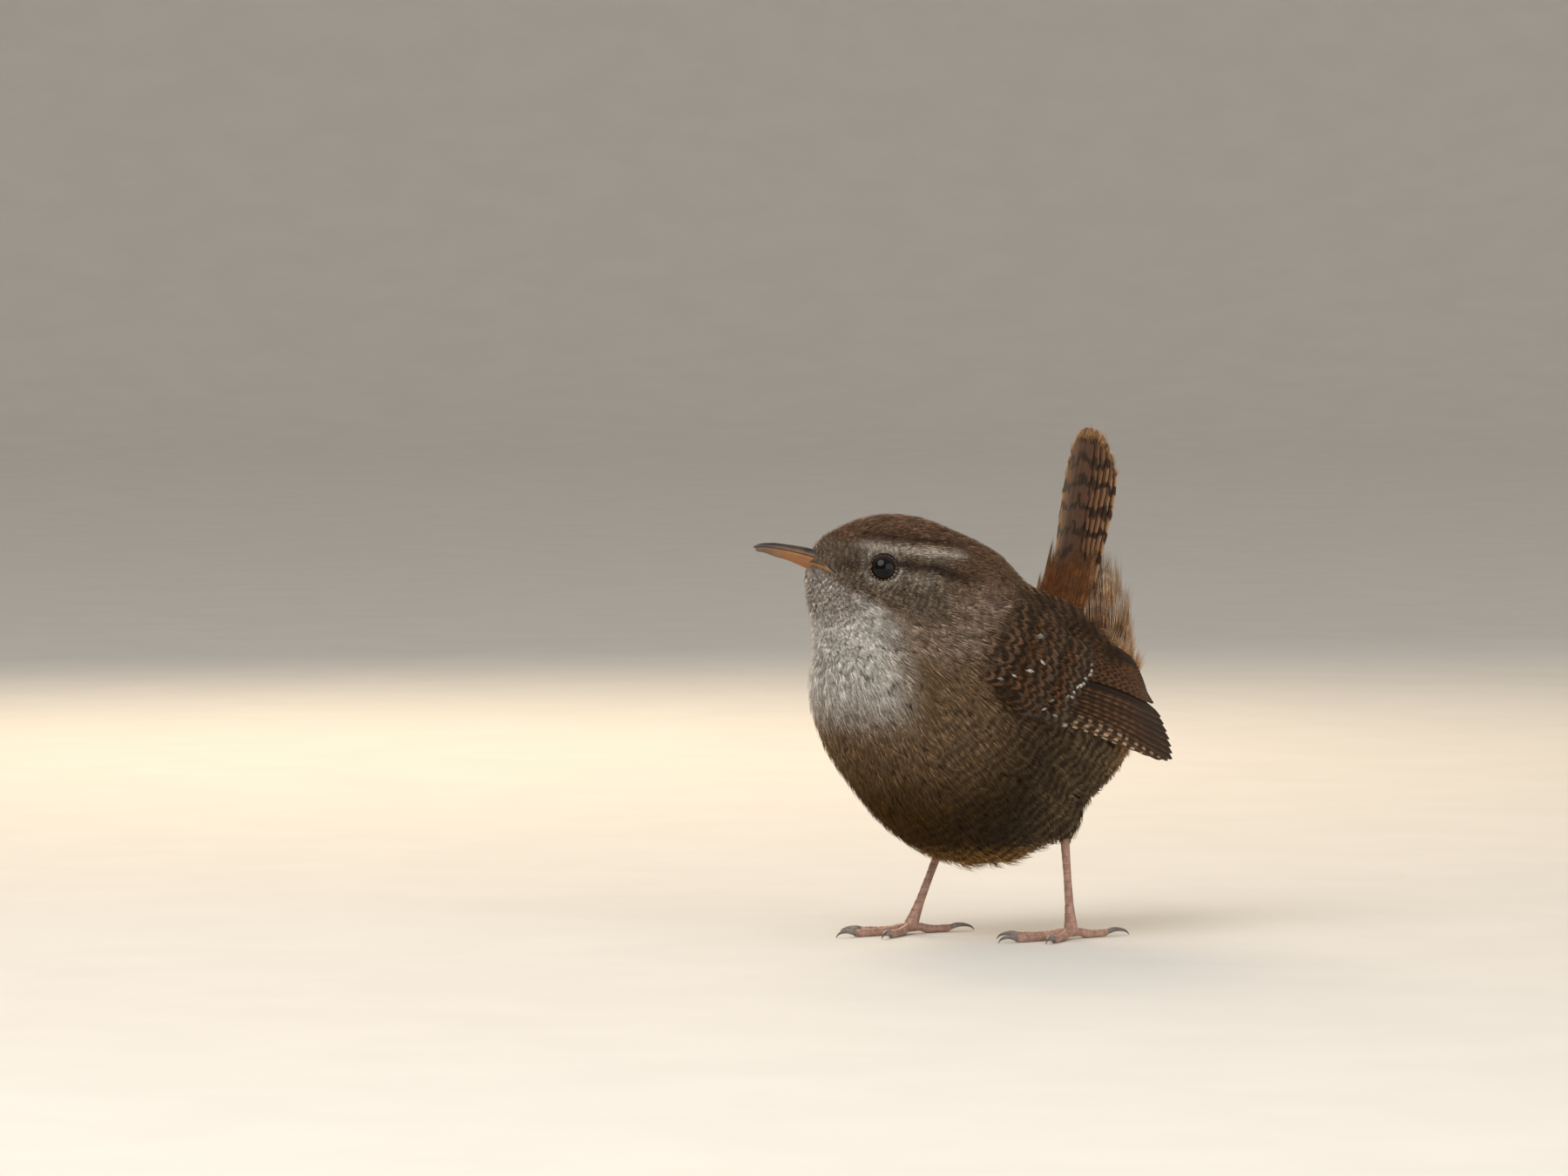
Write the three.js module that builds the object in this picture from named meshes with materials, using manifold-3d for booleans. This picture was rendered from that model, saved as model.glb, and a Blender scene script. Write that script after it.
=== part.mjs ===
// A wren standing on both feet with its tail cocked, life size, in millimetres.
// It faces -X and its left side is towards -Y. The head is turned a little to the right.

import * as THREE from "three";
import { mergeVertices } from "three/addons/utils/BufferGeometryUtils.js";
import Module from "manifold-3d";

const wasm = await Module();
wasm.setup();

const degrees = THREE.MathUtils.degToRad;
const V = (x, y, z) => new THREE.Vector3(x, y, z);

// Driving sizes
const GAP = 0.3; // between pieces that touch
const LEFT = -1; // the sign of Y on the bird's left
const RIGHT = 1;
const HEAD_PIVOT = V(-16.1, 0, 60.8); // middle of the skull
const HEAD_YAW = degrees(18);
const BILL_TIP = 25.2; // ahead of the pivot
const EYE_RADIUS = 2.6;
const TARSUS_LENGTH = 17.4; // sole to ankle
const WING_LENGTH = 44; // wrist to tip
const TAIL_LENGTH = 41; // root inside the rump to tip
const VANE_THICKNESS = 0.55;

// Named colours, roughness and metalness
const finishes = {
  mantle: new THREE.MeshStandardMaterial({ color: 0x6b5240, roughness: 0.9, metalness: 0 }),
  breast: new THREE.MeshStandardMaterial({ color: 0x8f7a62, roughness: 0.95, metalness: 0 }),
  throat: new THREE.MeshStandardMaterial({ color: 0xb7ab9b, roughness: 0.95, metalness: 0 }),
  flight: new THREE.MeshStandardMaterial({ color: 0x4a3424, roughness: 0.75, metalness: 0 }),
  rectrix: new THREE.MeshStandardMaterial({ color: 0x6e4629, roughness: 0.8, metalness: 0 }),
  horn: new THREE.MeshStandardMaterial({ color: 0x4a4038, roughness: 0.35, metalness: 0 }),
  mandible: new THREE.MeshStandardMaterial({ color: 0xa8662f, roughness: 0.4, metalness: 0 }),
  eye: new THREE.MeshStandardMaterial({ color: 0x0b0908, roughness: 0.05, metalness: 0 }),
  leg: new THREE.MeshStandardMaterial({ color: 0x9a7568, roughness: 0.5, metalness: 0 }),
  claw: new THREE.MeshStandardMaterial({ color: 0x6f6a68, roughness: 0.35, metalness: 0 }),
};

// Solids

function solidOf(geometry, weld = 1e-4) {
  const bare = geometry.clone();
  bare.deleteAttribute("normal");
  bare.deleteAttribute("uv");
  const merged = mergeVertices(bare, weld);
  const triVerts = new Uint32Array(merged.index.array);
  const vertProperties = merged.attributes.position.array;
  return new wasm.Manifold(new wasm.Mesh({ numProp: 3, vertProperties, triVerts }));
}

function geometryOf(solid) {
  const mesh = solid.getMesh();
  const geometry = new THREE.BufferGeometry();
  geometry.setAttribute("position", new THREE.BufferAttribute(mesh.vertProperties, 3));
  geometry.setIndex(new THREE.BufferAttribute(mesh.triVerts, 1));
  return geometry;
}

const fuse = (solids) => solids.reduce((whole, piece) => whole.add(piece));

// Only the largest closed piece is kept, so that a scrap cut loose is dropped.
function largest(solid) {
  const pieces = solid.decompose();
  return pieces.reduce((best, piece) => (piece.volume() > best.volume() ? piece : best));
}

// A closed skin over rings that each hold the same number of points, with flat ends.
// A blade's rings have four corners, and its two faces are split alike.
function skinOver(rings, blade = false) {
  const count = rings[0].length;
  const ends = [rings[0], rings.at(-1)].map((ring) =>
    ring.reduce((sum, p) => sum.add(p), V(0, 0, 0)).divideScalar(count),
  );
  const points = [...rings.flat(), ...ends];
  const index = [];
  const first = points.length - 2;
  const last = points.length - 1;
  const top = (rings.length - 1) * count;
  for (let i = 0; i < count; i++) {
    const j = (i + 1) % count;
    index.push(first, j, i, last, top + i, top + j);
    for (let r = 0; r < rings.length - 1; r++) {
      const a = r * count;
      const b = a + count;
      if (blade && i === 2) index.push(a + i, a + j, b + i, a + j, b + j, b + i);
      else index.push(a + i, a + j, b + j, a + i, b + j, b + i);
    }
  }
  const geometry = new THREE.BufferGeometry().setFromPoints(points);
  geometry.setIndex(index);
  const solid = solidOf(geometry);
  if (solid.volume() > 0) return solid;
  geometry.setIndex(index.reverse());
  return solidOf(geometry);
}

// A round rod whose thickness changes along smooth points: [point, radius] for each station.
function rod(stations, sides, steps) {
  const line = new THREE.CatmullRomCurve3(stations.map(([p]) => p));
  const radius = (t) => {
    const at = t * (stations.length - 1);
    const i = Math.min(Math.floor(at), stations.length - 2);
    return THREE.MathUtils.lerp(stations[i][1], stations[i + 1][1], at - i);
  };
  const frames = line.computeFrenetFrames(steps, false);
  const rings = [];
  for (let k = 0; k <= steps; k++) {
    const centre = line.getPoint(k / steps);
    const ahead = line.getTangent(k / steps);
    const side = frames.binormals[k].clone().cross(ahead).normalize();
    const up = ahead.clone().cross(side);
    const ring = [];
    for (let i = 0; i < sides; i++) {
      const a = (2 * Math.PI * i) / sides;
      const r = radius(k / steps);
      ring.push(
        centre
          .clone()
          .addScaledVector(side, r * Math.cos(a))
          .addScaledVector(up, r * Math.sin(a)),
      );
    }
    rings.push(ring);
  }
  return skinOver(rings);
}

// The plumage's outer form: ellipsoids that melt into each other

const MELT = 2.6;
const trunkForms = [
  { name: "belly", at: V(-2.5, 0, 28.3), radii: V(18.5, 15, 15), pitch: 0 },
  { name: "flanks", at: V(-2.3, 0, 35.5), radii: V(25, 18.5, 15.8), pitch: 0 },
  { name: "breast", at: V(-14, 0, 42.5), radii: V(17, 15, 13), pitch: 0 },
  { name: "throat", at: V(-17.5, 0, 52), radii: V(11.5, 10, 7), pitch: 0 },
  { name: "back", at: V(0.5, 0, 48.6), radii: V(17.5, 13, 10.5), pitch: degrees(35) },
  { name: "rump", at: V(12.5, 0, 42), radii: V(9.5, 9, 10), pitch: 0 },
  { name: "vent", at: V(16, 0, 39), radii: V(9.5, 8.5, 12.5), pitch: degrees(12) },
];
const headForms = [
  { name: "skull", at: V(2, 0, 1), radii: V(10.5, 8.2, 8.2), pitch: 0 },
  { name: "face", at: V(10, 0, 1.4), radii: V(4.8, 3.2, 3.6), pitch: 0 },
  { name: "chin", at: V(10.5, 0, -3.4), radii: V(3.2, 3.2, 3.6), pitch: 0 },
  { name: "nape", at: V(-8, 0, -1.5), radii: V(8.5, 7.6, 5.9), pitch: 0 },
];

// Distance to an ellipsoid that is pitched about Y, negative inside.
function ellipsoidDistance(p, form) {
  const x = p.x - form.at.x;
  const z = p.z - form.at.z;
  const c = Math.cos(form.pitch);
  const s = Math.sin(form.pitch);
  const q = V(c * x - s * z, p.y - form.at.y, s * x + c * z).divide(form.radii);
  const near = q.length();
  const slope = q.divide(form.radii).length();
  return slope > 0 ? (near * (near - 1)) / slope : -form.radii.y;
}

// A point of the bird in the head's own frame, where +X is ahead, +Y is left and +Z is up.
function inHead(p) {
  const x = p.x - HEAD_PIVOT.x;
  const c = Math.cos(HEAD_YAW);
  const s = Math.sin(HEAD_YAW);
  return V(-c * x + s * p.y, -s * x - c * p.y, p.z - HEAD_PIVOT.z);
}

function fromHead(ahead, left, up) {
  const c = Math.cos(HEAD_YAW);
  const s = Math.sin(HEAD_YAW);
  return V(HEAD_PIVOT.x - c * ahead - s * left, s * ahead - c * left, HEAD_PIVOT.z + up);
}

function plumage(p) {
  const h = inHead(p);
  const distances = [
    ...trunkForms.map((form) => ellipsoidDistance(p, form)),
    ...headForms.map((form) => ellipsoidDistance(h, form)),
  ];
  const sum = distances.reduce((total, d) => total + Math.exp(-d / MELT), 0);
  return -MELT * Math.log(sum);
}

// The plumage's form seen from a point inside it, drawn out along the corners of an icosphere.
function drawnFrom(centre, detail, grow = 0) {
  const sphere = new THREE.IcosahedronGeometry(1, detail);
  const place = sphere.attributes.position;
  for (let i = 0; i < place.count; i++) {
    const ray = V().fromBufferAttribute(place, i).normalize();
    let inside = 0;
    let outside = 60;
    while (outside - inside > 1e-4) {
      const middle = (inside + outside) / 2;
      const p = centre.clone().addScaledVector(ray, middle);
      if (plumage(p) < grow) inside = middle;
      else outside = middle;
    }
    const p = centre.clone().addScaledVector(ray, inside);
    place.setXYZ(i, p.x, p.y, p.z);
  }
  return solidOf(sphere);
}

const bird = new THREE.Group();
const WELD = 5e-3; // corners closer than this become one

function addNode(name, solid, finish) {
  const welded = solidOf(geometryOf(largest(solid)), WELD);
  const mesh = new THREE.Mesh(geometryOf(largest(welded)), finishes[finish]);
  mesh.name = name;
  bird.add(mesh);
}

// Torso, neck and head, parted by two thin slanting cuts

const TRUNK_CENTRE = V(-6, 0, 40);
const HEAD_CENTRE = fromHead(2, 0, 0);
const trunk = drawnFrom(TRUNK_CENTRE, 8);
const aroundTrunk = drawnFrom(TRUNK_CENTRE, 8, GAP);
const aroundHead = drawnFrom(HEAD_CENTRE, 8, GAP);

// A slanting plane through the neck: its unit normal points up and ahead.
function neckPlane(through, slope) {
  const normal = [-Math.sin(slope), 0, Math.cos(slope)];
  const offset = through.x * normal[0] + through.z * normal[2];
  return { normal, offset };
}

const throatCut = neckPlane(V(-16, 0, 55.2), degrees(16));
const shoulderCut = neckPlane(V(-14, 0, 48), degrees(22));
const above = (solid, cut) => solid.trimByPlane(cut.normal, cut.offset + GAP / 2);
const below = (solid, cut) =>
  solid.trimByPlane(
    cut.normal.map((n) => -n),
    GAP / 2 - cut.offset,
  );

const torso = below(trunk, shoulderCut);
const neck = above(below(trunk, throatCut), shoulderCut);
let head = above(drawnFrom(HEAD_CENTRE, 8), throatCut);

// Where a line from inside the head meets the plumage, seen in the head's own frame
function headSurface(ahead, up, side) {
  let inside = 0;
  let outside = 20;
  while (outside - inside > 1e-3) {
    const middle = (inside + outside) / 2;
    if (plumage(fromHead(ahead, middle * side, up)) < 0) inside = middle;
    else outside = middle;
  }
  return fromHead(ahead, inside * side, up);
}

// Eyes in their sockets, each with a raised lid

const EYE_AHEAD = 5.2;
const EYE_UP = 1.5;
const EYE_SINK = 1.95; // centre of the eyeball below the plumage
const LID_RADIUS = 2.45;
const LID_THICKNESS = 0.5;
const EYE_FACING = V(0.25, 0.95, 0.1); // ahead, outwards and up

function addEye(name, side) {
  const socketMouth = headSurface(EYE_AHEAD, EYE_UP, side);
  const outwards = fromHead(EYE_FACING.x, side * EYE_FACING.y, EYE_FACING.z)
    .sub(HEAD_PIVOT)
    .normalize();
  const centre = socketMouth.clone().addScaledVector(outwards, -EYE_SINK);
  const ball = (radius, across, around) => {
    const sphere = new THREE.SphereGeometry(radius, across, around);
    return solidOf(sphere.translate(centre.x, centre.y, centre.z));
  };
  const lid = new THREE.TorusGeometry(LID_RADIUS, LID_THICKNESS, 5, 14);
  lid.applyQuaternion(new THREE.Quaternion().setFromUnitVectors(V(0, 0, 1), outwards));
  lid.translate(socketMouth.x, socketMouth.y, socketMouth.z);
  head = head.add(solidOf(lid)).subtract(ball(EYE_RADIUS + GAP, 14, 9));
  addNode(name, ball(EYE_RADIUS, 14, 9), "eye");
}

addEye("eye_left", 1);
addEye("eye_right", -1);

// The gape: a soft lip that runs back over the cheek from the bill to the corner of the mouth

const gapeLine = [
  { ahead: 14.8, up: 1.6, thick: 0.45 },
  { ahead: 13, up: 0.8, thick: 0.5 },
  { ahead: 11.2, up: -0.1, thick: 0.45 },
  { ahead: 9.4, up: -1.1, thick: 0.25 },
];

for (const side of [1, -1]) {
  const stations = gapeLine.map(({ ahead, up, thick }) => [headSurface(ahead, up, side), thick]);
  head = head.add(rod(stations, 5, 4));
}

addNode("torso", torso, "breast");
addNode("neck", neck, "throat");
addNode("head", head, "mantle");

// The bill in the head's frame: culmen, mouth line and gonys above the pivot, and half its width

const billStations = [
  { ahead: 10, culmen: 3.2, mouth: 0.6, gonys: -1.7, half: 2.5 },
  { ahead: 14.5, culmen: 4.0, mouth: 2.6, gonys: 0.3, half: 1.9 },
  { ahead: 17, culmen: 4.6, mouth: 3.4, gonys: 1.5, half: 1.45 },
  { ahead: 19.5, culmen: 5.0, mouth: 4.0, gonys: 2.6, half: 1.05 },
  { ahead: 21.5, culmen: 5.25, mouth: 4.4, gonys: 3.2, half: 0.75 },
  { ahead: 23.4, culmen: 5.25, mouth: 4.65, gonys: 3.9, half: 0.45 },
  { ahead: 24.5, culmen: 5.05, mouth: 4.6, gonys: 4.1, half: 0.28 },
  { ahead: BILL_TIP, culmen: 4.75, mouth: 4.5, gonys: 4.2, half: 0.1 },
];
const LOWER_BILL_KEEL = 0.25; // depth below the gonys line
const NOSTRIL = { ahead: 16, left: 1.4, up: 4.0, long: 1.1, deep: 0.4, high: 0.27, slope: degrees(14) };
const upperSection = [[1, 0], [0.85, 0.5], [0.4, 0.9], [0, 1], [-0.4, 0.9], [-0.85, 0.5], [-1, 0]];
const lowerSection = [[-0.92, 0], [-0.75, 0.6], [-0.32, 0.95], [0.32, 0.95], [0.75, 0.6], [0.92, 0]];

const upperBill = skinOver(
  billStations.map(({ ahead, culmen, mouth, half }) =>
    upperSection.map(([across, rise]) =>
      fromHead(ahead, across * half, mouth + rise * (culmen - mouth)),
    ),
  ),
);
const lowerBill = skinOver(
  billStations.slice(0, -1).map(({ ahead, mouth, gonys, half }) =>
    lowerSection.map(([across, drop]) =>
      fromHead(ahead, across * half, mouth - GAP - drop * (mouth - GAP - gonys + LOWER_BILL_KEEL)),
    ),
  ),
);

function nostril(side) {
  const slit = new THREE.SphereGeometry(1, 10, 8);
  slit.scale(NOSTRIL.long, NOSTRIL.deep, NOSTRIL.high);
  slit.rotateY(NOSTRIL.slope);
  slit.rotateZ(-HEAD_YAW);
  const at = fromHead(NOSTRIL.ahead, NOSTRIL.left * side, NOSTRIL.up);
  return solidOf(slit.translate(at.x, at.y, at.z));
}

const bareUpperBill = upperBill.subtract(aroundHead);
addNode("bill_upper", bareUpperBill.subtract(nostril(1)).subtract(nostril(-1)), "horn");
addNode("bill_lower", lowerBill.subtract(aroundHead), "mandible");

// Feathers. A vane is a thin blade, laid on a surface by place(along, across, lift).
// It is widest at a little under half its length, and its steps grow shorter towards the tip.

const WIDEST = 0.45;
const VANE_REACH = 0.565; // share of the length from the widest place to where the outline closes
const OUTLINE_POWER = 4; // squareness of the outline
const STEP_POWER = 1.4; // how the steps crowd towards the tip

const vaneWidth = (u) => Math.sqrt(1 - ((u - WIDEST) / VANE_REACH) ** OUTLINE_POWER);

function vane(place, feather) {
  const { root, tip, half, lift, tipLift = lift, tilt = 0, bow = 0, steps = 5 } = feather;
  const along = new THREE.Vector2(tip[0] - root[0], tip[1] - root[1]);
  const across = new THREE.Vector2(-along.y, along.x).normalize();
  const rings = [];
  for (let k = 0; k <= steps; k++) {
    const u = 1 - (1 - k / steps) ** STEP_POWER;
    const width = half * vaneWidth(u);
    const curve = bow * 4 * u * (1 - u);
    const middle = new THREE.Vector2(...root).addScaledVector(along, u).addScaledVector(across, curve);
    const height = THREE.MathUtils.lerp(lift, tipLift, u);
    const ring = [[-1, 1], [1, 1], [1, -1], [-1, -1]].map(([edge, face]) => {
      const p = middle.clone().addScaledVector(across, edge * width);
      return place(p.x, p.y, height - edge * tilt + (face * VANE_THICKNESS) / 2);
    });
    rings.push(ring);
  }
  return skinOver(rings, true);
}

// Feathers in a row: each named value runs evenly from its first to its last number.
function row(place, count, first, last) {
  return Array.from({ length: count }, (_, i) => {
    const t = count > 1 ? i / (count - 1) : 0;
    const mix = (a, b) =>
      Array.isArray(a) ? a.map((value, k) => mix(value, b[k])) : THREE.MathUtils.lerp(a, b, t);
    const feather = Object.fromEntries(
      Object.keys(first).map((key) => [key, mix(first[key], last[key] ?? first[key])]),
    );
    return vane(place, { ...feather, steps: first.steps ?? 5 });
  });
}

// The folded wings: along runs from the wrist to the tip, across runs up over the back

const WRIST = V(-10, 0, 46.5);
const WING_DROOP = degrees(30.6);
const WING_SPREAD = 18.8; // half the bird's width where the wings stand out most
const FULLEST = 14; // where that is, along the wing
const TIP_TUCK = 10; // how far the tips close in
const TOP_TUCK = 0.045; // how sharply the wing leans in over the back
const TOP_LIMIT = 13.2; // past this the wing leans in no further
const WING_BED = 0.9; // thickness of the wing's own flesh and down

// Half the bird's width, by its plumage, at a height and a distance back
function halfWidth(x, z, grow) {
  let inside = 0;
  let outside = 30;
  while (outside - inside > 1e-3) {
    const middle = (inside + outside) / 2;
    if (plumage(V(x, middle, z)) < grow) inside = middle;
    else outside = middle;
  }
  return inside;
}

function wingPlace(side) {
  return (along, across, lift, onBody = false) => {
    const x = WRIST.x + along * Math.cos(WING_DROOP) + across * Math.sin(WING_DROOP);
    const z = WRIST.z - along * Math.sin(WING_DROOP) + across * Math.cos(WING_DROOP);
    const body = halfWidth(x, z, GAP);
    const tuck = ((along - FULLEST) / (WING_LENGTH - FULLEST)) ** 2;
    const lean = TOP_TUCK * THREE.MathUtils.clamp(across, 0, TOP_LIMIT) ** 2;
    const plate = WING_SPREAD - TIP_TUCK * tuck - lean;
    const rest = Math.log(Math.exp(body + WING_BED) + Math.exp(plate));
    return V(x, side * (onBody ? body + lift : rest + lift), z);
  };
}

// The wing's bed: a lens between the body and the feathers, wide where their roots are
function wingBed(place) {
  const middle = [8.5, 4.6];
  const reach = [11, 8.6];
  const around = 18;
  const ring = (share, lift, onBody) =>
    Array.from({ length: around }, (_, i) => {
      const a = (2 * Math.PI * i) / around;
      const along = middle[0] + share * reach[0] * Math.cos(a);
      return place(along, middle[1] + share * reach[1] * Math.sin(a), lift, onBody);
    });
  return skinOver([
    ring(0.5, GAP / 2, true),
    ring(0.96, GAP / 2, true),
    ring(1, 0.1, false),
    ring(0.6, 0.9, false),
    ring(0.2, 1.2, false),
  ]);
}

const primaryTips = [
  [31, 2],
  [36.2, 3],
  [41, 4.2],
  [WING_LENGTH, 5.6],
  [43.4, 7],
  [42, 8.4],
  [40.2, 9.7],
  [38.4, 10.9],
];

function addWing(name, side) {
  const place = wingPlace(side);
  const feathers = primaryTips.map((tip, i) =>
    vane(place, {
      root: [12, -2.4 + i],
      tip,
      half: 1.4,
      lift: 0.1 + i * 0.07,
      tilt: 0.14,
      bow: 0.5,
      steps: 3,
    }),
  );
  // Secondaries, tertials and the coverts over them, and the scapulars on top
  const sets = [
    [5, { root: [11, 6], tip: [36, 12.3], half: 1.6, lift: 0.7, tilt: 0.18, bow: 0.8, steps: 3 },
      { root: [10, 10.4], tip: [29.5, 15], lift: 1 }],
    [3, { root: [8, 11], tip: [26.5, 15.4], half: 2, lift: 1.2, tilt: 0.18, bow: 0.8, steps: 3 },
      { root: [7, 13.4], tip: [19.5, 16.8], lift: 1.4 }],
    [6, { root: [7.5, -2.4], tip: [16.5, -2], half: 1.9, lift: 0.9, tilt: 0.2, steps: 3 },
      { root: [7, 10.4], tip: [19.4, 12.6], lift: 1.6 }],
    [5, { root: [3.5, -1.8], tip: [11.5, -1.8], half: 2.1, lift: 1.4, tilt: 0.2, steps: 2 },
      { root: [3, 10.2], tip: [13.5, 12.6], lift: 2.1 }],
    [4, { root: [-0.5, -0.6], tip: [7, -0.6], half: 2.3, lift: 1.8, tipLift: 1.9, tilt: 0.2, steps: 2 },
      { root: [-0.5, 9.4], tip: [8.5, 11.8], lift: 2.3, tipLift: 2.6 }],
    [2, { root: [1.5, -3.6], tip: [11, -4.2], half: 1.3, lift: 0.9, tilt: 0.15, steps: 2 },
      { root: [2, -2], tip: [14, -2.8], lift: 1.2 }],
    [3, { root: [-1, 11.6], tip: [9.5, 14.4], half: 2.4, lift: 1.6, tilt: 0.2, steps: 3 },
      { root: [3, 14.4], tip: [15, 16.4], lift: 1.9 }],
  ];
  for (const [count, first, last] of sets) feathers.push(...row(place, count, first, last));
  addNode(name, fuse([wingBed(place), ...feathers]), "flight");
}

addWing("wing_left", LEFT);
addWing("wing_right", RIGHT);

// The cocked tail: along runs up to the tip, across is level, and lift is towards the back

const TAIL_ROOT = V(11.9, 0, 44);
const TAIL_LEAN = degrees(10); // back from upright
const TAIL_ROOF = 0.6; // how far the outer feathers fall away from the middle ones, at TAIL_HALF
const TAIL_HALF = 8;
const TAIL_RANKS = 6; // pairs of tail feathers
const RANK_FAN = degrees(2.1); // each pair stands out by this much more than the one inside it
const RANK_STEP = 0.32; // and lies this far under it
const RANK_SHORTER = 0.22; // and is shorter by this times its rank squared
const upTail = V(Math.sin(TAIL_LEAN), 0, Math.cos(TAIL_LEAN));
const offTail = V(-Math.cos(TAIL_LEAN), 0, Math.sin(TAIL_LEAN));

function tailPlace(along, across, lift) {
  const fall = TAIL_ROOF * (across / TAIL_HALF) ** 2;
  const p = TAIL_ROOT.clone().addScaledVector(upTail, along).addScaledVector(offTail, lift - fall);
  return p.setY(across);
}

// The tail's root: along as before, and around runs round it from the back.
// It widens downwards into the rump, less on the back than on the vent.
const COVER_RADIUS = 6;
const FLARE_TOP = 23; // where the widening starts
const FLARE_LENGTH = 20;
const COVER_DEPTH = { back: [2.2, 3.2], vent: [5, 7.6], side: [6.2, 0.9] }; // slim part and widening
const COVER_SIDE_LIFT = 0.6;
const COVER_SET_BACK = 1;
const coverTiers = [
  { count: 9, root: 4, tip: 22, half: 2.6, lift: 0.2, turn: 0 },
  { count: 8, root: 2, tip: 15.5, half: 2.9, lift: 0.8, turn: 0.5 },
  { count: 7, root: 0, tip: 8.5, half: 3.2, lift: 1.4, turn: 0 },
];

function coverPlace(along, around, lift) {
  const turn = around / COVER_RADIUS;
  const flare = THREE.MathUtils.clamp((FLARE_TOP - along) / FLARE_LENGTH, 0, 1);
  const widened = ([slim, more]) => slim + more * flare;
  const off = Math.cos(turn);
  const depth = lift + widened(off > 0 ? COVER_DEPTH.back : COVER_DEPTH.vent);
  const p = TAIL_ROOT.clone().addScaledVector(upTail, along);
  p.addScaledVector(offTail, off * depth - COVER_SET_BACK);
  return p.setY(Math.sin(turn) * (widened(COVER_DEPTH.side) + COVER_SIDE_LIFT * lift));
}

function addTail() {
  const feathers = [];
  for (let rank = 0; rank < TAIL_RANKS; rank++) {
    for (const side of [LEFT, RIGHT]) {
      const fan = degrees(1) + RANK_FAN * rank;
      const long = TAIL_LENGTH - RANK_SHORTER * rank ** 2;
      feathers.push(
        vane(tailPlace, {
          root: [4, side * (0.3 + 0.6 * rank)],
          tip: [long * Math.cos(fan), side * long * Math.sin(fan)],
          half: 2.9,
          lift: -RANK_STEP * rank,
          tilt: side * -0.12,
          bow: side * -0.3,
          steps: 3,
        }),
      );
    }
  }
  // Coverts all round the root of the tail, each tier shorter and standing further out
  for (const { count, root, tip, half, lift, turn } of coverTiers) {
    for (let i = 0; i < count; i++) {
      const around = ((i + turn) / count) * 2 * Math.PI * COVER_RADIUS;
      feathers.push(
        vane(coverPlace, {
          root: [root, around],
          tip: [tip, around],
          half,
          lift: lift - 1,
          tipLift: lift,
          tilt: 0.15,
          steps: 3,
        }),
      );
    }
  }
  const coreLine = [[-5, -3], [4, -1.2], [12, -1.9], [18, -3.6]];
  const core = skinOver(
    coreLine.map(([along, lift]) =>
      Array.from({ length: 12 }, (_, i) =>
        coverPlace(along, (i / 12) * 2 * Math.PI * COVER_RADIUS, lift),
      ),
    ),
  );
  addNode("tail", fuse([core, ...feathers]).subtract(aroundTrunk), "rectrix");
}

addTail();

// Legs: each runs from the foot up to where it leaves the plumage of the thigh

const FOOT_TOP = 2.4;
const CLAW_CLEAR = 0.02; // the claws just clear the floor
const toes = [
  { name: "inner", turn: 34, long: 8.4, claw: 3.6 },
  { name: "middle", turn: 2, long: 11.4, claw: 3.8 },
  { name: "outer", turn: -30, long: 8.8, claw: 3.6 },
  { name: "hind", turn: 184, long: 7.6, claw: 5 },
];
const legs = [
  {
    name: "left",
    side: LEFT,
    foot: V(9.8, -10.4, 1.5),
    lean: V(-0.8, 1, 17.2),
    cuff: 18.2,
    hip: V(4, -8, 27),
    knee: V(7.5, -9, 22.5),
    turn: 6,
  },
  {
    name: "right",
    side: RIGHT,
    foot: V(-9, 10.4, 1.5),
    lean: V(6.5, -0.8, 16.1),
    cuff: 15,
    hip: V(4, 8, 26),
    knee: V(-0.5, 9.2, 20),
    turn: -8,
  },
];

const aboveLevel = (solid, level) => solid.trimByPlane([0, 0, 1], level);
const belowLevel = (solid, level) => solid.trimByPlane([0, 0, -1], -level);

function toeLine(foot, heading, long) {
  const ahead = V(-Math.cos(heading), Math.sin(heading), 0);
  return (share, height) => V(foot.x, foot.y, height).addScaledVector(ahead, share * long);
}

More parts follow.
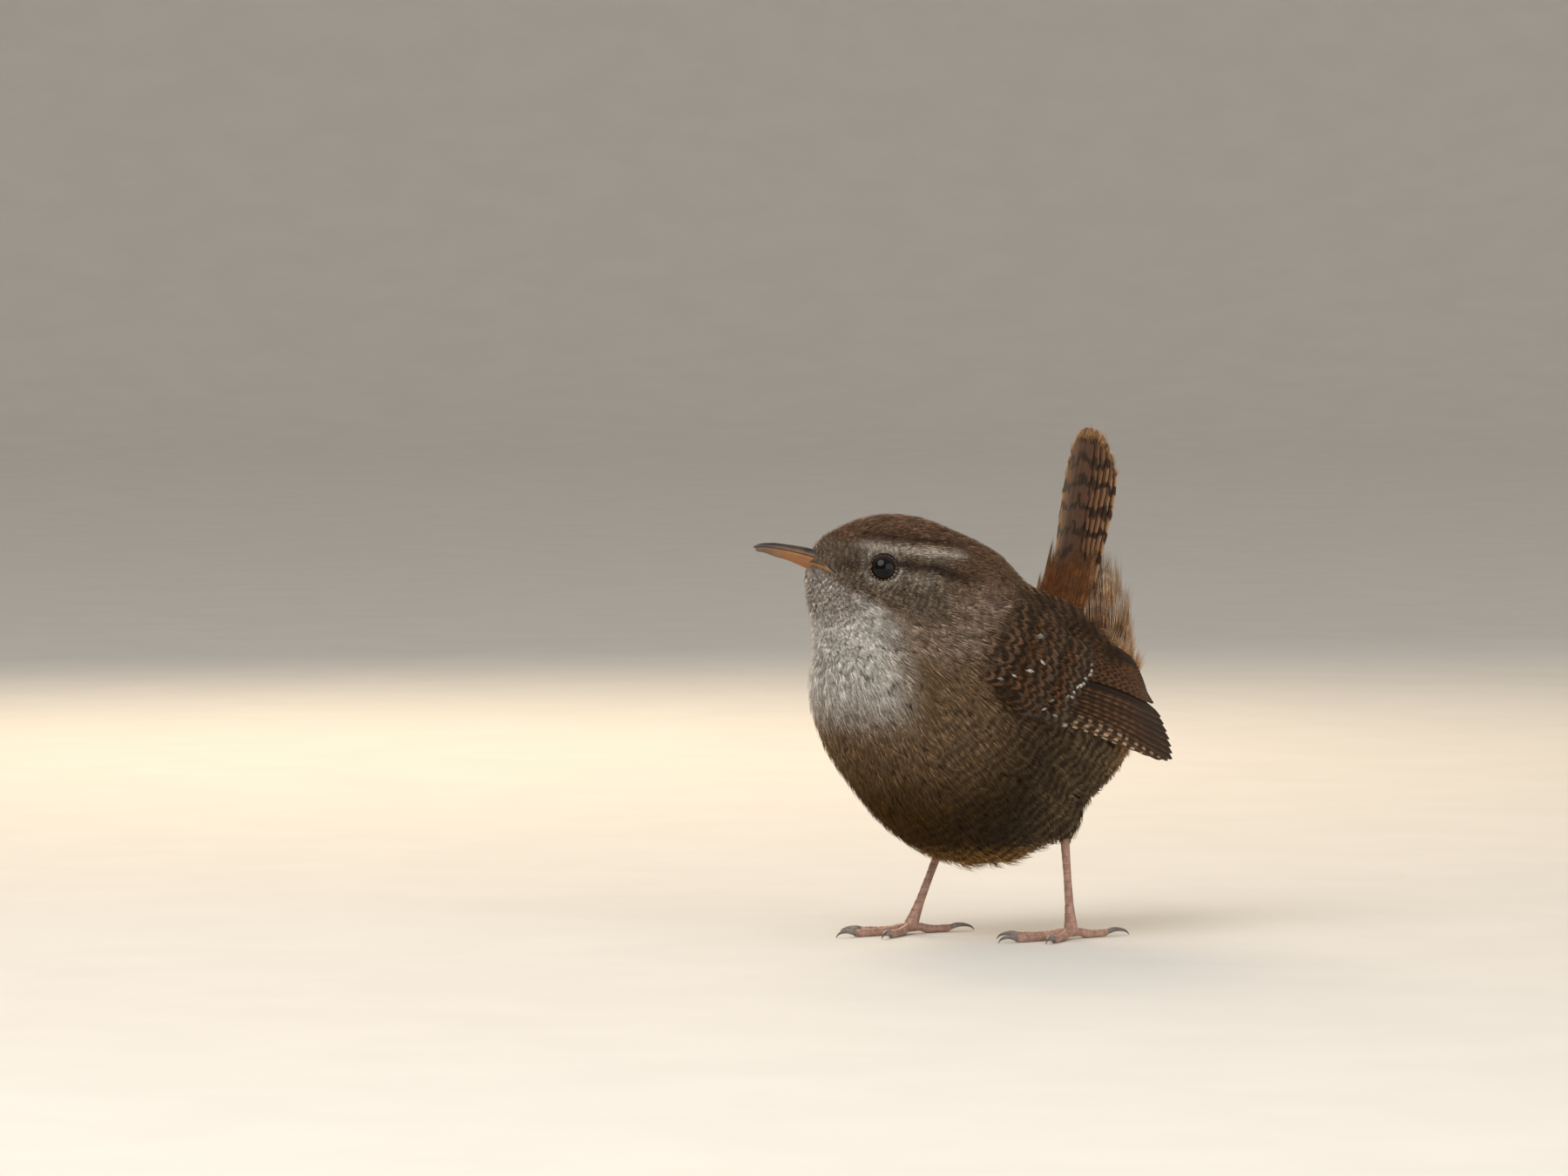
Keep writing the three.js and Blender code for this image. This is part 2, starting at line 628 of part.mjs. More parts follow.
function addLeg({ name, side, foot, lean, cuff, hip, knee, turn }) {
  const ankle = foot.clone().addScaledVector(lean.clone().normalize(), TARSUS_LENGTH);
  const shank = rod(
    [
      [V(foot.x, foot.y, 0.9), 1.25],
      [foot.clone().lerp(ankle, 0.07), 1.05],
      [foot.clone().lerp(ankle, 0.2), 0.72],
      [foot.clone().lerp(ankle, 0.5), 0.62],
      [foot.clone().lerp(ankle, 0.85), 0.72],
      [ankle, 1.05],
    ],
    8,
    8,
  );
  const pads = [belowLevel(shank, FOOT_TOP - GAP / 2)];
  for (const toe of toes) {
    const heading = degrees(turn * side + toe.turn * side);
    const at = toeLine(foot, heading, toe.long);
    pads.push(
      rod(
        [
          [at(0, 1.2), 0.85],
          [at(0.25, 1.05), 0.66],
          [at(0.45, 0.66), 0.76],
          [at(0.68, 0.62), 0.62],
          [at(0.84, 0.58), 0.72],
          [at(1, 0.7), 0.55],
        ],
        6,
        8,
      ),
    );
    const reach = toe.claw / toe.long;
    const hook = rod(
      [
        [at(1 + GAP / toe.long, 0.74), 0.46],
        [at(1 + 0.45 * reach, 1.0), 0.36],
        [at(1 + 0.85 * reach, 0.72), 0.22],
        [at(1 + reach, 0.2), 0.1],
      ],
      5,
      4,
    );
    addNode(`claw_${name}_${toe.name}`, aboveLevel(hook, CLAW_CLEAR), "claw");
  }
  addNode(`foot_${name}`, aboveLevel(fuse(pads), 0), "leg");
  const bareShank = aboveLevel(belowLevel(shank, cuff - GAP / 2), FOOT_TOP + GAP / 2);
  addNode(`leg_${name}`, bareShank, "leg");
  const cuffMiddle = foot.clone().lerp(ankle, (cuff - foot.z) / (ankle.z - foot.z));
  const thigh = rod([[hip, 5.2], [knee, 3.4], [cuffMiddle, 1.3]], 12, 8);
  addNode(`thigh_${name}`, aboveLevel(thigh, cuff + GAP / 2).subtract(aroundTrunk), "breast");
}

legs.forEach(addLeg);

// The origin is on the floor, under the middle of the bird
const box = new THREE.Box3().setFromObject(bird);
const middle = box.getCenter(V());
bird.position.set(-middle.x, -middle.y, -box.min.z);

export default bird;
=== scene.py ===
"""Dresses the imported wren: skin, coat, wings, tail, bill, eyes, legs and claws, on a plain stage.

Lengths in the script are millimetres in the bird's own frame: it faces -X, its left side is towards -Y
and +Z is up. They become metres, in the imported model's place, when a mesh is made.
"""

import math

import bmesh
import bpy
import numpy as np
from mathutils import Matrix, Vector
from mathutils.kdtree import KDTree


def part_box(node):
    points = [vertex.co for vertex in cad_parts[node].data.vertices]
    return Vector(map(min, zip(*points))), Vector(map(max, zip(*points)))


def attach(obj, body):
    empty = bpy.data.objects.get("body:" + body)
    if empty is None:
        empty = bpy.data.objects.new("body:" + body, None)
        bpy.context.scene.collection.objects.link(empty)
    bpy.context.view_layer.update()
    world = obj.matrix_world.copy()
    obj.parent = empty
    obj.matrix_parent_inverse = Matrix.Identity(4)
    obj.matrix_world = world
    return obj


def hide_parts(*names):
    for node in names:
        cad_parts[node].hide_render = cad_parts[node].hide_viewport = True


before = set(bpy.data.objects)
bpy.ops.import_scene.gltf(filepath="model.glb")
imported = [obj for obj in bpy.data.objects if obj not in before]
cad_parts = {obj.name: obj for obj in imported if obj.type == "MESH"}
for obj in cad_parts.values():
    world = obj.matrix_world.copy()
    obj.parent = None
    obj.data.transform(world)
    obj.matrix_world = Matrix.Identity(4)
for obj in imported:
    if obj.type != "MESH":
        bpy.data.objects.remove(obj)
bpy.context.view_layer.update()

bl_info = {
    "name": "Wren dressing",
    "version": (1, 0, 0),
    "blender": (4, 5, 0),
    "location": "View3D > Sidebar > Wren",
    "description": "Dresses the packed wren with its skin, coat, feathers and bare parts",
    "category": "Add Mesh",
}

MM = 0.001
LEFT = -1  # the sign of Y on the bird's left
RIGHT = 1
SIDES = {"left": LEFT, "right": RIGHT}

# The head and the bill
HEAD_YAW = math.radians(18)
HEAD_PIVOT = np.array([-16.1, 0.0, 60.8])
BILL_TIP = 25.2
BILL_TIP_HALF = 0.1
BILL_ROOT = (17.0, 0.0, 2.3)  # in the head's frame
EYE_AHEAD, EYE_UP = 5.3, 1.6
EYE_CLEAR = 2.35  # no feather grows nearer to the middle of the eye
FACE_SIDE = 3  # further out than this, a point of the face is on its side

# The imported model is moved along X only, so the bill's tip tells how far
TIP_X = HEAD_PIVOT[0] - BILL_TIP * math.cos(HEAD_YAW) - BILL_TIP_HALF * math.sin(HEAD_YAW)
SHIFT = np.array([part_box("bill_upper")[0].x / MM - TIP_X, 0.0, 0.0])


def srgb(code):
    """Scene-linear colour of a 0xRRGGBB code."""
    parts = [(code >> shift & 255) / 255 for shift in (16, 8, 0)]
    return tuple(c / 12.92 if c <= 0.04045 else ((c + 0.055) / 1.055) ** 2.4 for c in parts)


def smooth(start, end, value):
    """0 at start, 1 at end, easing between them."""
    t = np.clip((value - start) / (end - start), 0, 1)
    return t * t * (3 - 2 * t)


def unit(vectors):
    return vectors / np.maximum(np.linalg.norm(vectors, axis=-1, keepdims=True), 1e-9)


def mixed(first, second, share):
    """Colours, or points, between two others."""
    return first + (second - first) * np.asarray(share)[..., None]


def ridge(value, middle, half):
    """1 where the value is at the middle, falling off softly to both sides."""
    return np.exp(-(((value - middle) / half) ** 2))


def tones(colours, *names):
    """Colours of the settings as arrays."""
    return [np.array(getattr(colours, name)[:3]) for name in names]


def lump(points, size, turn=0.0):
    """Soft noise from -1 to 1 with lumps of about this size."""
    x, y, z = (points / size).T
    wave = np.sin(1.7 * x + 2.3 * z + turn) * np.sin(2.1 * y - 1.3 * x + 2 * turn)
    return 0.6 * wave + 0.4 * np.sin(3.1 * z + 1.9 * y + 3 * turn) * np.sin(2.7 * x - y)


# The plumage's outer form: swellings that melt into each other, as (middle, radii, pitch)

MELT = 2.6
THIGH_MELT = 1.2
TRUNK_FORMS = (
    ((-2.5, 0, 28.3), (18.5, 15, 15), 0),
    ((-2.3, 0, 35.5), (25, 18.5, 15.8), 0),
    ((-14, 0, 42.5), (17, 15, 13), 0),
    ((-17.5, 0, 52), (11.5, 10, 7), 0),
    ((0.5, 0, 48.6), (17.5, 13, 10.5), math.radians(35)),
    ((12.5, 0, 42), (9.5, 9, 10), 0),
    ((16, 0, 39), (9.5, 8.5, 12.5), math.radians(12)),
)
HEAD_FORMS = (
    ((2, 0, 1), (10.5, 8.2, 8.2), 0),
    ((10, 0, 1.4), (4.8, 3.2, 3.6), 0),
    ((10.5, 0, -3.4), (3.2, 3.2, 3.6), 0),
    ((-8, 0, -1.5), (8.5, 7.6, 5.9), 0),
)
TRUNK_CENTRE = np.array([-6.0, 0.0, 40.0])
HEAD_TURN = np.array(
    [
        [-math.cos(HEAD_YAW), math.sin(HEAD_YAW), 0],
        [-math.sin(HEAD_YAW), -math.cos(HEAD_YAW), 0],
        [0, 0, 1],
    ]
)


def in_head(points):
    """The bird's points in the head's frame: ahead, left, up."""
    return (points - HEAD_PIVOT) @ HEAD_TURN.T


def from_head(points):
    return HEAD_PIVOT + np.asarray(points, float) @ HEAD_TURN


# Each leg, from the hip through the knee and the cuff to the ankle and the foot

TARSUS_LENGTH = 17.4
LEGS = {
    "left": {
        "foot": (9.8, -10.4, 1.5),
        "lean": (-0.8, 1, 17.2),
        "cuff": 18.2,
        "hip": (4, -8, 27),
        "knee": (7.5, -9, 22.5),
        "turn": 6,
    },
    "right": {
        "foot": (-9, 10.4, 1.5),
        "lean": (6.5, -0.8, 16.1),
        "cuff": 15,
        "hip": (4, 8, 26),
        "knee": (-0.5, 9.2, 20),
        "turn": -8,
    },
}
THIGH_RADII = (5.2, 3.4, 1.3)
KNEE_LEVEL = 24.0


def ankle_of(leg):
    return np.array(leg["foot"], float) + TARSUS_LENGTH * unit(np.array(leg["lean"], float))


def thigh_line(leg):
    """Hip, knee and cuff of a leg."""
    foot, ankle = np.array(leg["foot"], float), ankle_of(leg)
    share = (leg["cuff"] - foot[2]) / (ankle[2] - foot[2])
    return np.array([leg["hip"], leg["knee"], foot + (ankle - foot) * share], float)


def swelling(points, form):
    """Distance of the points from an ellipsoid pitched about Y, and its outward direction there."""
    middle, radii, pitch = form
    c, s = math.cos(pitch), math.sin(pitch)
    turn = np.array([[c, 0, -s], [0, 1, 0], [s, 0, c]])
    q = (points - np.array(middle)) @ turn.T / np.array(radii)
    near = np.linalg.norm(q, axis=-1)
    steep = q / np.array(radii)
    slope = np.maximum(np.linalg.norm(steep, axis=-1), 1e-6)
    return near * (near - 1) / slope, (steep / slope[:, None]) @ turn


def taper(points, start, end, radii):
    """Distance of the points from a tapered limb between two points, and its outward direction."""
    line = end - start
    share = np.clip((points - start) @ line / (line @ line), 0, 1)
    off = points - start - share[:, None] * line
    return np.linalg.norm(off, axis=-1) - (radii[0] + (radii[1] - radii[0]) * share), unit(off)


def melted(parts, melt):
    """One form out of several (distance, outward) pairs."""
    distances = np.stack([d for d, _ in parts])
    pull = np.exp(-(distances - distances.min(0)) / melt)
    total = pull.sum(0)
    outward = np.einsum("fn,fnk->nk", pull / total, np.stack([o for _, o in parts]))
    return distances.min(0) - melt * np.log(total), outward


def plumage(points, thighs=False):
    """Height of the points over the plumage's outer form, and the direction out of it."""
    turned = in_head(points)
    parts = [swelling(points, form) for form in TRUNK_FORMS]
    for form in HEAD_FORMS:
        distance, outward = swelling(turned, form)
        parts.append((distance, outward @ HEAD_TURN))
    body = melted(parts, MELT)
    if not thighs:
        return body
    limbs = [body]
    for leg in LEGS.values():
        hip, knee, cuff = thigh_line(leg)
        limbs.append(taper(points, hip, knee, THIGH_RADII[:2]))
        limbs.append(taper(points, knee, cuff, THIGH_RADII[1:]))
    return melted(limbs, THIGH_MELT)


def settled(points, height, rounds=2, thighs=True):
    """The points moved in or out until they are at this height over the plumage's form."""
    for _ in range(rounds):
        level, outward = plumage(points, thighs)
        steep = np.maximum((outward**2).sum(-1), 0.35)
        points = points - outward * ((level - height) / steep)[:, None]
    return points


def last_inside(at, count, most, height, halvings):
    """How far out the points at(far) stay under a height over the plumage's form, by halving."""
    inside, outside = np.zeros(count), np.full(count, most)
    for _ in range(halvings):
        middle = (inside + outside) / 2
        under = plumage(at(middle))[0] < height
        inside, outside = np.where(under, middle, inside), np.where(under, outside, middle)
    return inside


def on_head(points):
    """1 on the head, 0 on the body, easing over the neck."""
    ahead, _, up = in_head(points).T
    return smooth(-13, -6, up + 0.3 * ahead)


def down_leg(points):
    """1 where a thigh leaves the belly, 0 on the body."""
    near = np.zeros(len(points))
    for leg in LEGS.values():
        _, knee, cuff = thigh_line(leg)
        distance, _ = taper(points, knee, cuff, THIGH_RADII[1:])
        near = np.maximum(near, smooth(1.6, 0.2, distance))
    return near * smooth(KNEE_LEVEL, KNEE_LEVEL - 4, points[:, 2])


def coat_size(settings, size, head):
    """A size of the coat in millimetres, from its setting for the body to that for the head."""
    body_size, head_size = (getattr(settings, f"{part}_{size}") for part in ("body", "head"))
    return (body_size + (head_size - body_size) * head) / MM


def coat_depth(points, settings):
    """How deep the skin lies under the ends of the coat."""
    depth = settings.body_depth / MM + (settings.head_depth - settings.body_depth) / MM * on_head(points)
    ahead = in_head(points)[:, 0]
    depth = depth * (1 - 0.5 * smooth(9, 13, ahead))
    return depth * (1 - 0.6 * down_leg(points))


# Objects and meshes


def nothing_selected():
    """Later operators act on all that is selected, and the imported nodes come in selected."""
    if bpy.context.object and bpy.context.object.mode != "OBJECT":
        bpy.ops.object.mode_set(mode="OBJECT")
    bpy.ops.object.select_all(action="DESELECT")


def only(ob):
    nothing_selected()
    ob.select_set(True)
    bpy.context.view_layer.objects.active = ob
    return ob


def just_added(name):
    """The object that an operator has just added, under its own name."""
    ob = bpy.context.object
    ob.name = ob.data.name = name
    return ob


def corners_of(ob):
    """A mesh's points as they are stored."""
    flat = np.empty(len(ob.data.vertices) * 3, np.float32)
    ob.data.vertices.foreach_get("co", flat)
    return flat.reshape(-1, 3).astype(float)


def points_of(ob):
    """A mesh's points in the bird's millimetres."""
    return corners_of(ob) / MM - SHIFT


def stored(points):
    """Points of the bird's frame as a mesh stores them."""
    return ((points + SHIFT) * MM).astype(np.float32).ravel()


def move_points(ob, points):
    ob.data.vertices.foreach_set("co", stored(points))
    ob.data.update()


def kept_above(ob, level=0.0):
    """Flattens what would lie under a height, and gives the mesh's points."""
    points = points_of(ob)
    points[:, 2] = np.maximum(points[:, 2], level)
    move_points(ob, points)
    return points


def mesh_piece(name, points, triangles, shades=None, patches=None):
    """A new object from arrays: points in the bird's frame, triangles, and what is painted on them."""
    mesh = bpy.data.meshes.new(name)
    mesh.vertices.add(len(points))
    mesh.vertices.foreach_set("co", stored(points))
    mesh.loops.add(3 * len(triangles))
    mesh.loops.foreach_set("vertex_index", triangles.astype(np.int32).ravel())
    mesh.polygons.add(len(triangles))
    mesh.polygons.foreach_set("loop_start", np.arange(0, 3 * len(triangles), 3, dtype=np.int32))
    mesh.update(calc_edges=True)
    mesh.validate()
    mesh.shade_smooth()
    ob = bpy.data.objects.new(name, mesh)
    bpy.context.scene.collection.objects.link(ob)
    if shades:
        paint(ob, shades)
    if patches is not None:
        patch_map(ob, patches[triangles.ravel()])
    return ob


def patch_map(ob, places):
    """The map that the coat's colours are kept on: one patch for each feather."""
    layer = ob.data.uv_layers.new(name="OFBake")
    layer.data.foreach_set("uv", places.astype(np.float32).ravel())


def paint(ob, shades):
    """Writes colours and numbers on the points of a mesh, for its material to read."""
    for name, values in shades.items():
        if values.ndim == 2:
            layer = ob.data.attributes.new(name, "FLOAT_COLOR", "POINT")
            full = np.ones((len(values), 4), np.float32)
            full[:, :3] = values
            layer.data.foreach_set("color", full.ravel())
        else:
            layer = ob.data.attributes.new(name, "FLOAT", "POINT")
            layer.data.foreach_set("value", values.astype(np.float32))


def dressed(ob, material, replaced=()):
    """Gives a finished piece its material, its body and its slot, and hides the nodes it stands for."""
    ob.data.materials.clear()
    ob.data.materials.append(material)
    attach(ob, "root")
    if replaced:
        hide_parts(*replaced)
    return ob


def select_edges(ob, wanted):
    """Opens a mesh for editing and selects the edges that are wanted."""
    bpy.ops.object.mode_set(mode="EDIT")
    bpy.ops.mesh.select_mode(type="EDGE")
    bpy.ops.mesh.select_all(action="DESELECT")
    mesh = bmesh.from_edit_mesh(ob.data)
    for edge in mesh.edges:
        edge.select_set(wanted(edge))
    bmesh.update_edit_mesh(ob.data)


def upright(edge):
    low, high = (corner.co.z for corner in edge.verts)
    return abs(low - high) > 0.5


def column(name, sides, cuts):
    """A closed upright column of unit radius and height, cut into rings."""
    nothing_selected()
    bpy.ops.mesh.primitive_cylinder_add(vertices=sides, radius=1, depth=1, end_fill_type="TRIFAN")
    ob = just_added(name)
    select_edges(ob, upright)
    bpy.ops.mesh.subdivide(number_cuts=cuts)
    bpy.ops.object.mode_set(mode="OBJECT")
    return ob


def smooth_line(stations, shares):
    """Points at the shares of a line that runs smoothly through the stations."""
    stations = np.asarray(stations, float)
    ends = [2 * stations[0] - stations[1], 2 * stations[-1] - stations[-2]]
    line = np.vstack([ends[0], stations, ends[1]])
    at = np.clip(shares, 0, 1) * (len(stations) - 1)
    i = np.minimum(at.astype(int), len(stations) - 2)
    t = (at - i)[:, None]
    a, b, c, d = (line[i + k] for k in range(4))
    return 0.5 * (2 * b + (c - a) * t + (2 * a - 5 * b + 4 * c - d) * t**2 + (3 * b - a - 3 * c + d) * t**3)


def limb(name, stations, radii, sides, cuts, swell=None, top=(0, 0, 1)):
    """A round limb along a smooth line. swell(share, angle) gives its radius over the plain one."""
    ob = column(name, sides, cuts)
    corner = corners_of(ob)
    share = corner[:, 2] + 0.5
    middle = smooth_line(stations, share)
    ahead = unit(smooth_line(stations, share + 0.01) - smooth_line(stations, share - 0.01))
    across = unit(np.cross(ahead, np.array(top, float)))
    above = np.cross(across, ahead)
    radius = np.interp(share, np.linspace(0, 1, len(radii)), radii)
    if swell:
        radius = radius * swell(share, np.arctan2(corner[:, 1], corner[:, 0]))
    move_points(ob, middle + radius[:, None] * (corner[:, :1] * across + corner[:, 1:2] * above))
    faces_out(ob)
    return ob


def faces_out(ob):
    """Turns a closed mesh's faces outwards and shades it smooth."""
    only(ob)
    bpy.ops.object.mode_set(mode="EDIT")
    bpy.ops.mesh.select_all(action="SELECT")
    bpy.ops.mesh.normals_make_consistent(inside=False)
    bpy.ops.object.mode_set(mode="OBJECT")
    bpy.ops.object.shade_smooth()


def joined(name, parts):
    """Several objects as one."""
    nothing_selected()
    for part in parts:
        part.select_set(True)
    bpy.context.view_layer.objects.active = parts[0]
    bpy.ops.object.join()
    parts[0].name = parts[0].data.name = name
    return parts[0]


# Materials


class Graph:
    """Adds nodes to a material and links them in one step each."""

    def __init__(self, name, **sockets):
        self.material = bpy.data.materials.new(name)
        self.material.use_nodes = True
        self.tree = self.material.node_tree
        self.shader = self.tree.nodes["Principled BSDF"]
        for socket, value in sockets.items():
            self.shader.inputs[socket.replace("_", " ")].default_value = value

    def add(self, kind, inputs=(), output=0, **settings):
        node = self.tree.nodes.new(kind)
        for key, value in settings.items():
            setattr(node, key, value)
        for key, value in dict(inputs).items():
            if isinstance(value, bpy.types.NodeSocket):
                self.tree.links.new(value, node.inputs[key])
            else:
                node.inputs[key].default_value = value
        return node.outputs[output]

    def attribute(self, name, output="Color"):
        return self.add("ShaderNodeAttribute", attribute_name=name, output=output)

    def math(self, operation, a, b=0.0, c=0.0):
        return self.add("ShaderNodeMath", {0: a, 1: b, 2: c}, operation=operation)

    def ramp(self, value, low, high, start=0.0, end=1.0):
        inputs = {"Value": value, 1: low, 2: high, 3: start, 4: end}
        return self.add("ShaderNodeMapRange", inputs, interpolation_type="SMOOTHSTEP")

    def place(self):
        return self.add("ShaderNodeTexCoord", output="Object")

    def noise(self, scale, detail=3.0):
        return self.add("ShaderNodeTexNoise", {"Vector": self.place(), "Scale": scale, "Detail": detail})

    def cycle(self, value):
        """A wave from -1 to 1 that comes round once for each whole number."""
        return self.math("SINE", self.math("MULTIPLY", value, 2 * math.pi))

    def mix(self, share, first, second, blend="MIX"):
        node = self.tree.nodes.new("ShaderNodeMix")
        node.data_type = "RGBA"
        node.blend_type = blend
        for socket, value in ((0, share), (6, first), (7, second)):
            if isinstance(value, bpy.types.NodeSocket):
                self.tree.links.new(value, node.inputs[socket])
            else:
                node.inputs[socket].default_value = value
        return node.outputs[2]

    def link(self, socket, target):
        self.tree.links.new(socket, self.shader.inputs[target])

    def colour(self, socket):
        self.link(socket, "Base Color")

    def grained(self, base, grain):
        """The base colour, made darker and lighter by a grain about 1."""
        value = self.add("ShaderNodeCombineColor", {0: grain, 1: grain, 2: grain})
        self.colour(self.mix(1.0, base, value, "MULTIPLY"))

    def bump(self, height, strength, distance):
        inputs = {"Height": height, "Strength": strength, "Distance": distance}
        self.link(self.add("ShaderNodeBump", inputs), "Normal")


def rgba(colour):
    return (*colour, 1.0)


WARM_GLOSS = (1.0, 0.84, 0.66, 1.0)
WARM_SHEEN = (1.0, 0.78, 0.55, 1.0)


def plumage_graph(name, roughness, gloss, sheen, sheen_roughness):
    """A material of feathers, whose gloss and sheen are warm."""
    return Graph(
        name,
        Roughness=roughness,
        Specular_IOR_Level=gloss,
        Specular_Tint=WARM_GLOSS,
        Sheen_Weight=sheen,
        Sheen_Roughness=sheen_roughness,
        Sheen_Tint=WARM_SHEEN,
    )


def barred(graph, cloud_scale, ripple, gap, bar_edge):
    """The painted tint, crossed by bars of the painted bar tint that ripple along their way."""
    phase = graph.attribute("phase", "Fac")
    waver = graph.math("MULTIPLY_ADD", graph.noise(cloud_scale, 2.0), ripple, phase)
    bar = graph.ramp(graph.cycle(waver), gap - bar_edge, gap + bar_edge)
    share = graph.math("MULTIPLY", bar, graph.attribute("bars", "Fac"))
    return graph.mix(share, graph.attribute("tint"), graph.attribute("bar_tint"))


def feather_material(name, bar_edge, ripple, roughness=0.75, gap=0.0):
    """Soft plumage: barred, with a fine grain of barbs."""
    graph = plumage_graph(name, roughness, gloss=0.16, sheen=0.06, sheen_roughness=0.45)
    grain = graph.ramp(graph.noise(2600, 4.0), 0.3, 0.7, 0.78, 1.2)
    graph.grained(barred(graph, 420, ripple, gap, bar_edge), grain)
    graph.bump(graph.noise(5200, 2.0), 0.25, 0.00008)
    return graph.material


def vane_material(name, bar_edge, ripple, gap=0.0):
    """Stiff feathers: barred, with the fine ribs of the barbs pressed into the web."""
    graph = plumage_graph(name, 0.6, gloss=0.2, sheen=0.04, sheen_roughness=0.5)
    ribs = graph.cycle(graph.attribute("rib", "Fac"))
    grain = graph.ramp(graph.math("ADD", ribs, graph.noise(1800, 3.0)), -1.2, 1.6, 0.72, 1.2)
    graph.grained(barred(graph, 520, ripple, gap, bar_edge), grain)
    graph.bump(ribs, 0.35, 0.00006)
    return graph.material


def down_material(name, dark, light):
    """Dull mottled down; on the wing's bed its near-black browns are painted shade."""
    graph = Graph(name, Roughness=0.95)
    graph.colour(graph.mix(graph.noise(900), rgba(srgb(dark)), rgba(srgb(light))))
    return graph.material


# Markings of the plumage, as the colours and bars of any point of it

BODY_BAR = 1.45  # from one bar to the next
FACE_BAR = 0.95
JAWLINE = ((-10, -12.6), (4, -5.2), (9, -2.8), (12, -1.0), (14.5, 1.2))  # ahead and up
STRIPE_LINE = ((-9, -0.6), (-3.4, 1.4), (2.3, 2.0), (5, 1.9))
LORE_LEVEL = 1.9


def keys_of(settings):
    """Names of the properties in a group of settings."""
    return [key for key in settings.bl_rna.properties.keys() if key not in ("rna_type", "name")]


def along_line(ahead, line):
    return np.interp(ahead, [a for a, _ in line], [up for _, up in line])


def markings(points, colours):
    """Tint, bar tint, strength of the bars and their phase at points of the body."""
    ahead, left, up = in_head(points).T
    x, _, z = points.T
    head = on_head(points)
    every = np.ones((len(points), 1))
    tone = {key: np.array(getattr(colours, key)[:3]) for key in keys_of(colours)}

    # Body: brown above, buff on the breast, olive to dark brown on the belly and the flanks
    above = smooth(45, 54, z + 0.25 * (x + 10) + 1.5 * lump(points, 3.0))
    low = smooth(35, 20, z + lump(points, 2.5))
    rear = smooth(-14, 6, x + 0.35 * (36 - z))
    under = mixed(every * tone["breast"], tone["belly"], low)
    crescents = np.clip(0.5 + 0.35 * lump(points, 3.2, 5.0), 0, 1) * smooth(44, 36, z)
    flank = mixed(every * tone["flank"], tone["bar_pale"], crescents * smooth(-6, 8, x))
    under = mixed(under, flank, 0.9 * rear)
    # Painted rim light: a golden glow on the lowest ends of the belly's coat
    under = mixed(under, tone["fringe"], 0.75 * smooth(17, 12.5, z))
    tint = mixed(under, tone["mantle"], above)
    tint = mixed(tint, tone["rump"], smooth(6, 14, x) * smooth(40, 48, z))
    tint = mixed(tint, tone["vent"], smooth(13, 21, x) * smooth(20, 32, z) * 0.75)
    pale = smooth(-19.5, -27, x + 0.8 * lump(points, 2.0))
    pale = pale * smooth(33, 42, z + 1.5 * lump(points, 2.2, 1.0))
    pale = pale * smooth(1.2, -1.2, up - along_line(ahead, JAWLINE) + 0.9 * lump(points, 1.1))
    chin = smooth(6.5, 11, ahead) * smooth(-10, -5, up)
    pale = pale * (1 - chin * (0.28 + 0.3 * lump(points, 0.6)))
    shawl = smooth(44, 50, z) * smooth(61, 55, z) * smooth(-24, -18, x) * smooth(0, -8, x)
    tint = mixed(tint, tone["shawl"], shawl * (0.55 + 0.45 * lump(points, 1.7, 3.0)))
    tint = mixed(tint, tone["throat"], pale)

    # Head: brown crown, speckled cheek, pale brow over a dark stripe
    brow_line = 4.25 + 0.11 * ahead
    stripe_line = along_line(ahead, STRIPE_LINE)
    side = smooth(1.5, 4.5, np.abs(left))
    behind = smooth(-12, -7, ahead)
    crown = smooth(-0.6, 0.9, up - brow_line) * smooth(-14, -9, ahead)
    cheek = smooth(-9, -3, ahead) * (1 - crown) * (1 - pale) * smooth(-9, -5, up)
    ring = ridge(np.hypot(ahead - EYE_AHEAD, up - EYE_UP), 2.9, 0.5) * side
    stripe = ridge(up, stripe_line, 0.95) * behind * smooth(4.5, 2.5, ahead)
    lore = ridge(up, LORE_LEVEL, 1.2) * smooth(6.8, 8.2, ahead)
    band = ridge(up - brow_line, 1.75, 0.7) * behind * smooth(10, 6, ahead)
    brow = ridge(up - brow_line + 0.25 * lump(points, 0.8), 0, 0.72)
    brow = brow * smooth(-10.5, -7, ahead) * smooth(10.5, 6.5, ahead)
    jaw = ridge(up - stripe_line, -2.3, 0.9) * smooth(-6, -2, ahead) * smooth(5, 1, ahead)
    for name, share in (
        ("crown", crown),
        ("cheek", cheek),
        ("brow", 0.5 * ring),
        ("stripe", 0.9 * stripe * side),
        ("stripe", 0.55 * lore),
        ("stripe", 0.6 * band * side),
        ("brow", 0.92 * brow * side),
        ("brow", 0.4 * jaw * side),
    ):
        tint = mixed(tint, tone[name], share)

    # Bars: fine on the cheek, faint on the back, bold on the flanks
    bars = (0.55 + 0.55 * lump(points, 1.2, 4.0)) * smooth(44, 35, z) * smooth(-25, -12, x)
    bars = bars + 0.35 * rear * smooth(50, 44, z)
    bars = bars * (1 - pale) * (1 - head) + 0.3 * above * (1 - head) + 0.55 * cheek * (1 - stripe)
    bars = np.clip(bars, 0, 0.9) * (1 - 0.9 * np.clip(brow + stripe, 0, 1))
    bar_tint = (0.3 - 0.08 * rear)[:, None] * tint
    reach = np.linalg.norm(points - from_head(BILL_ROOT), axis=-1)
    phase = reach / (BODY_BAR + (FACE_BAR - BODY_BAR) * smooth(0.2, 0.9, head * cheek))
    phase = phase + 0.15 * lump(points, 1.7, 2.0) + 0.4 * lump(points, 4.3, 1.0)
    return tint, bar_tint, bars, phase


# The skin


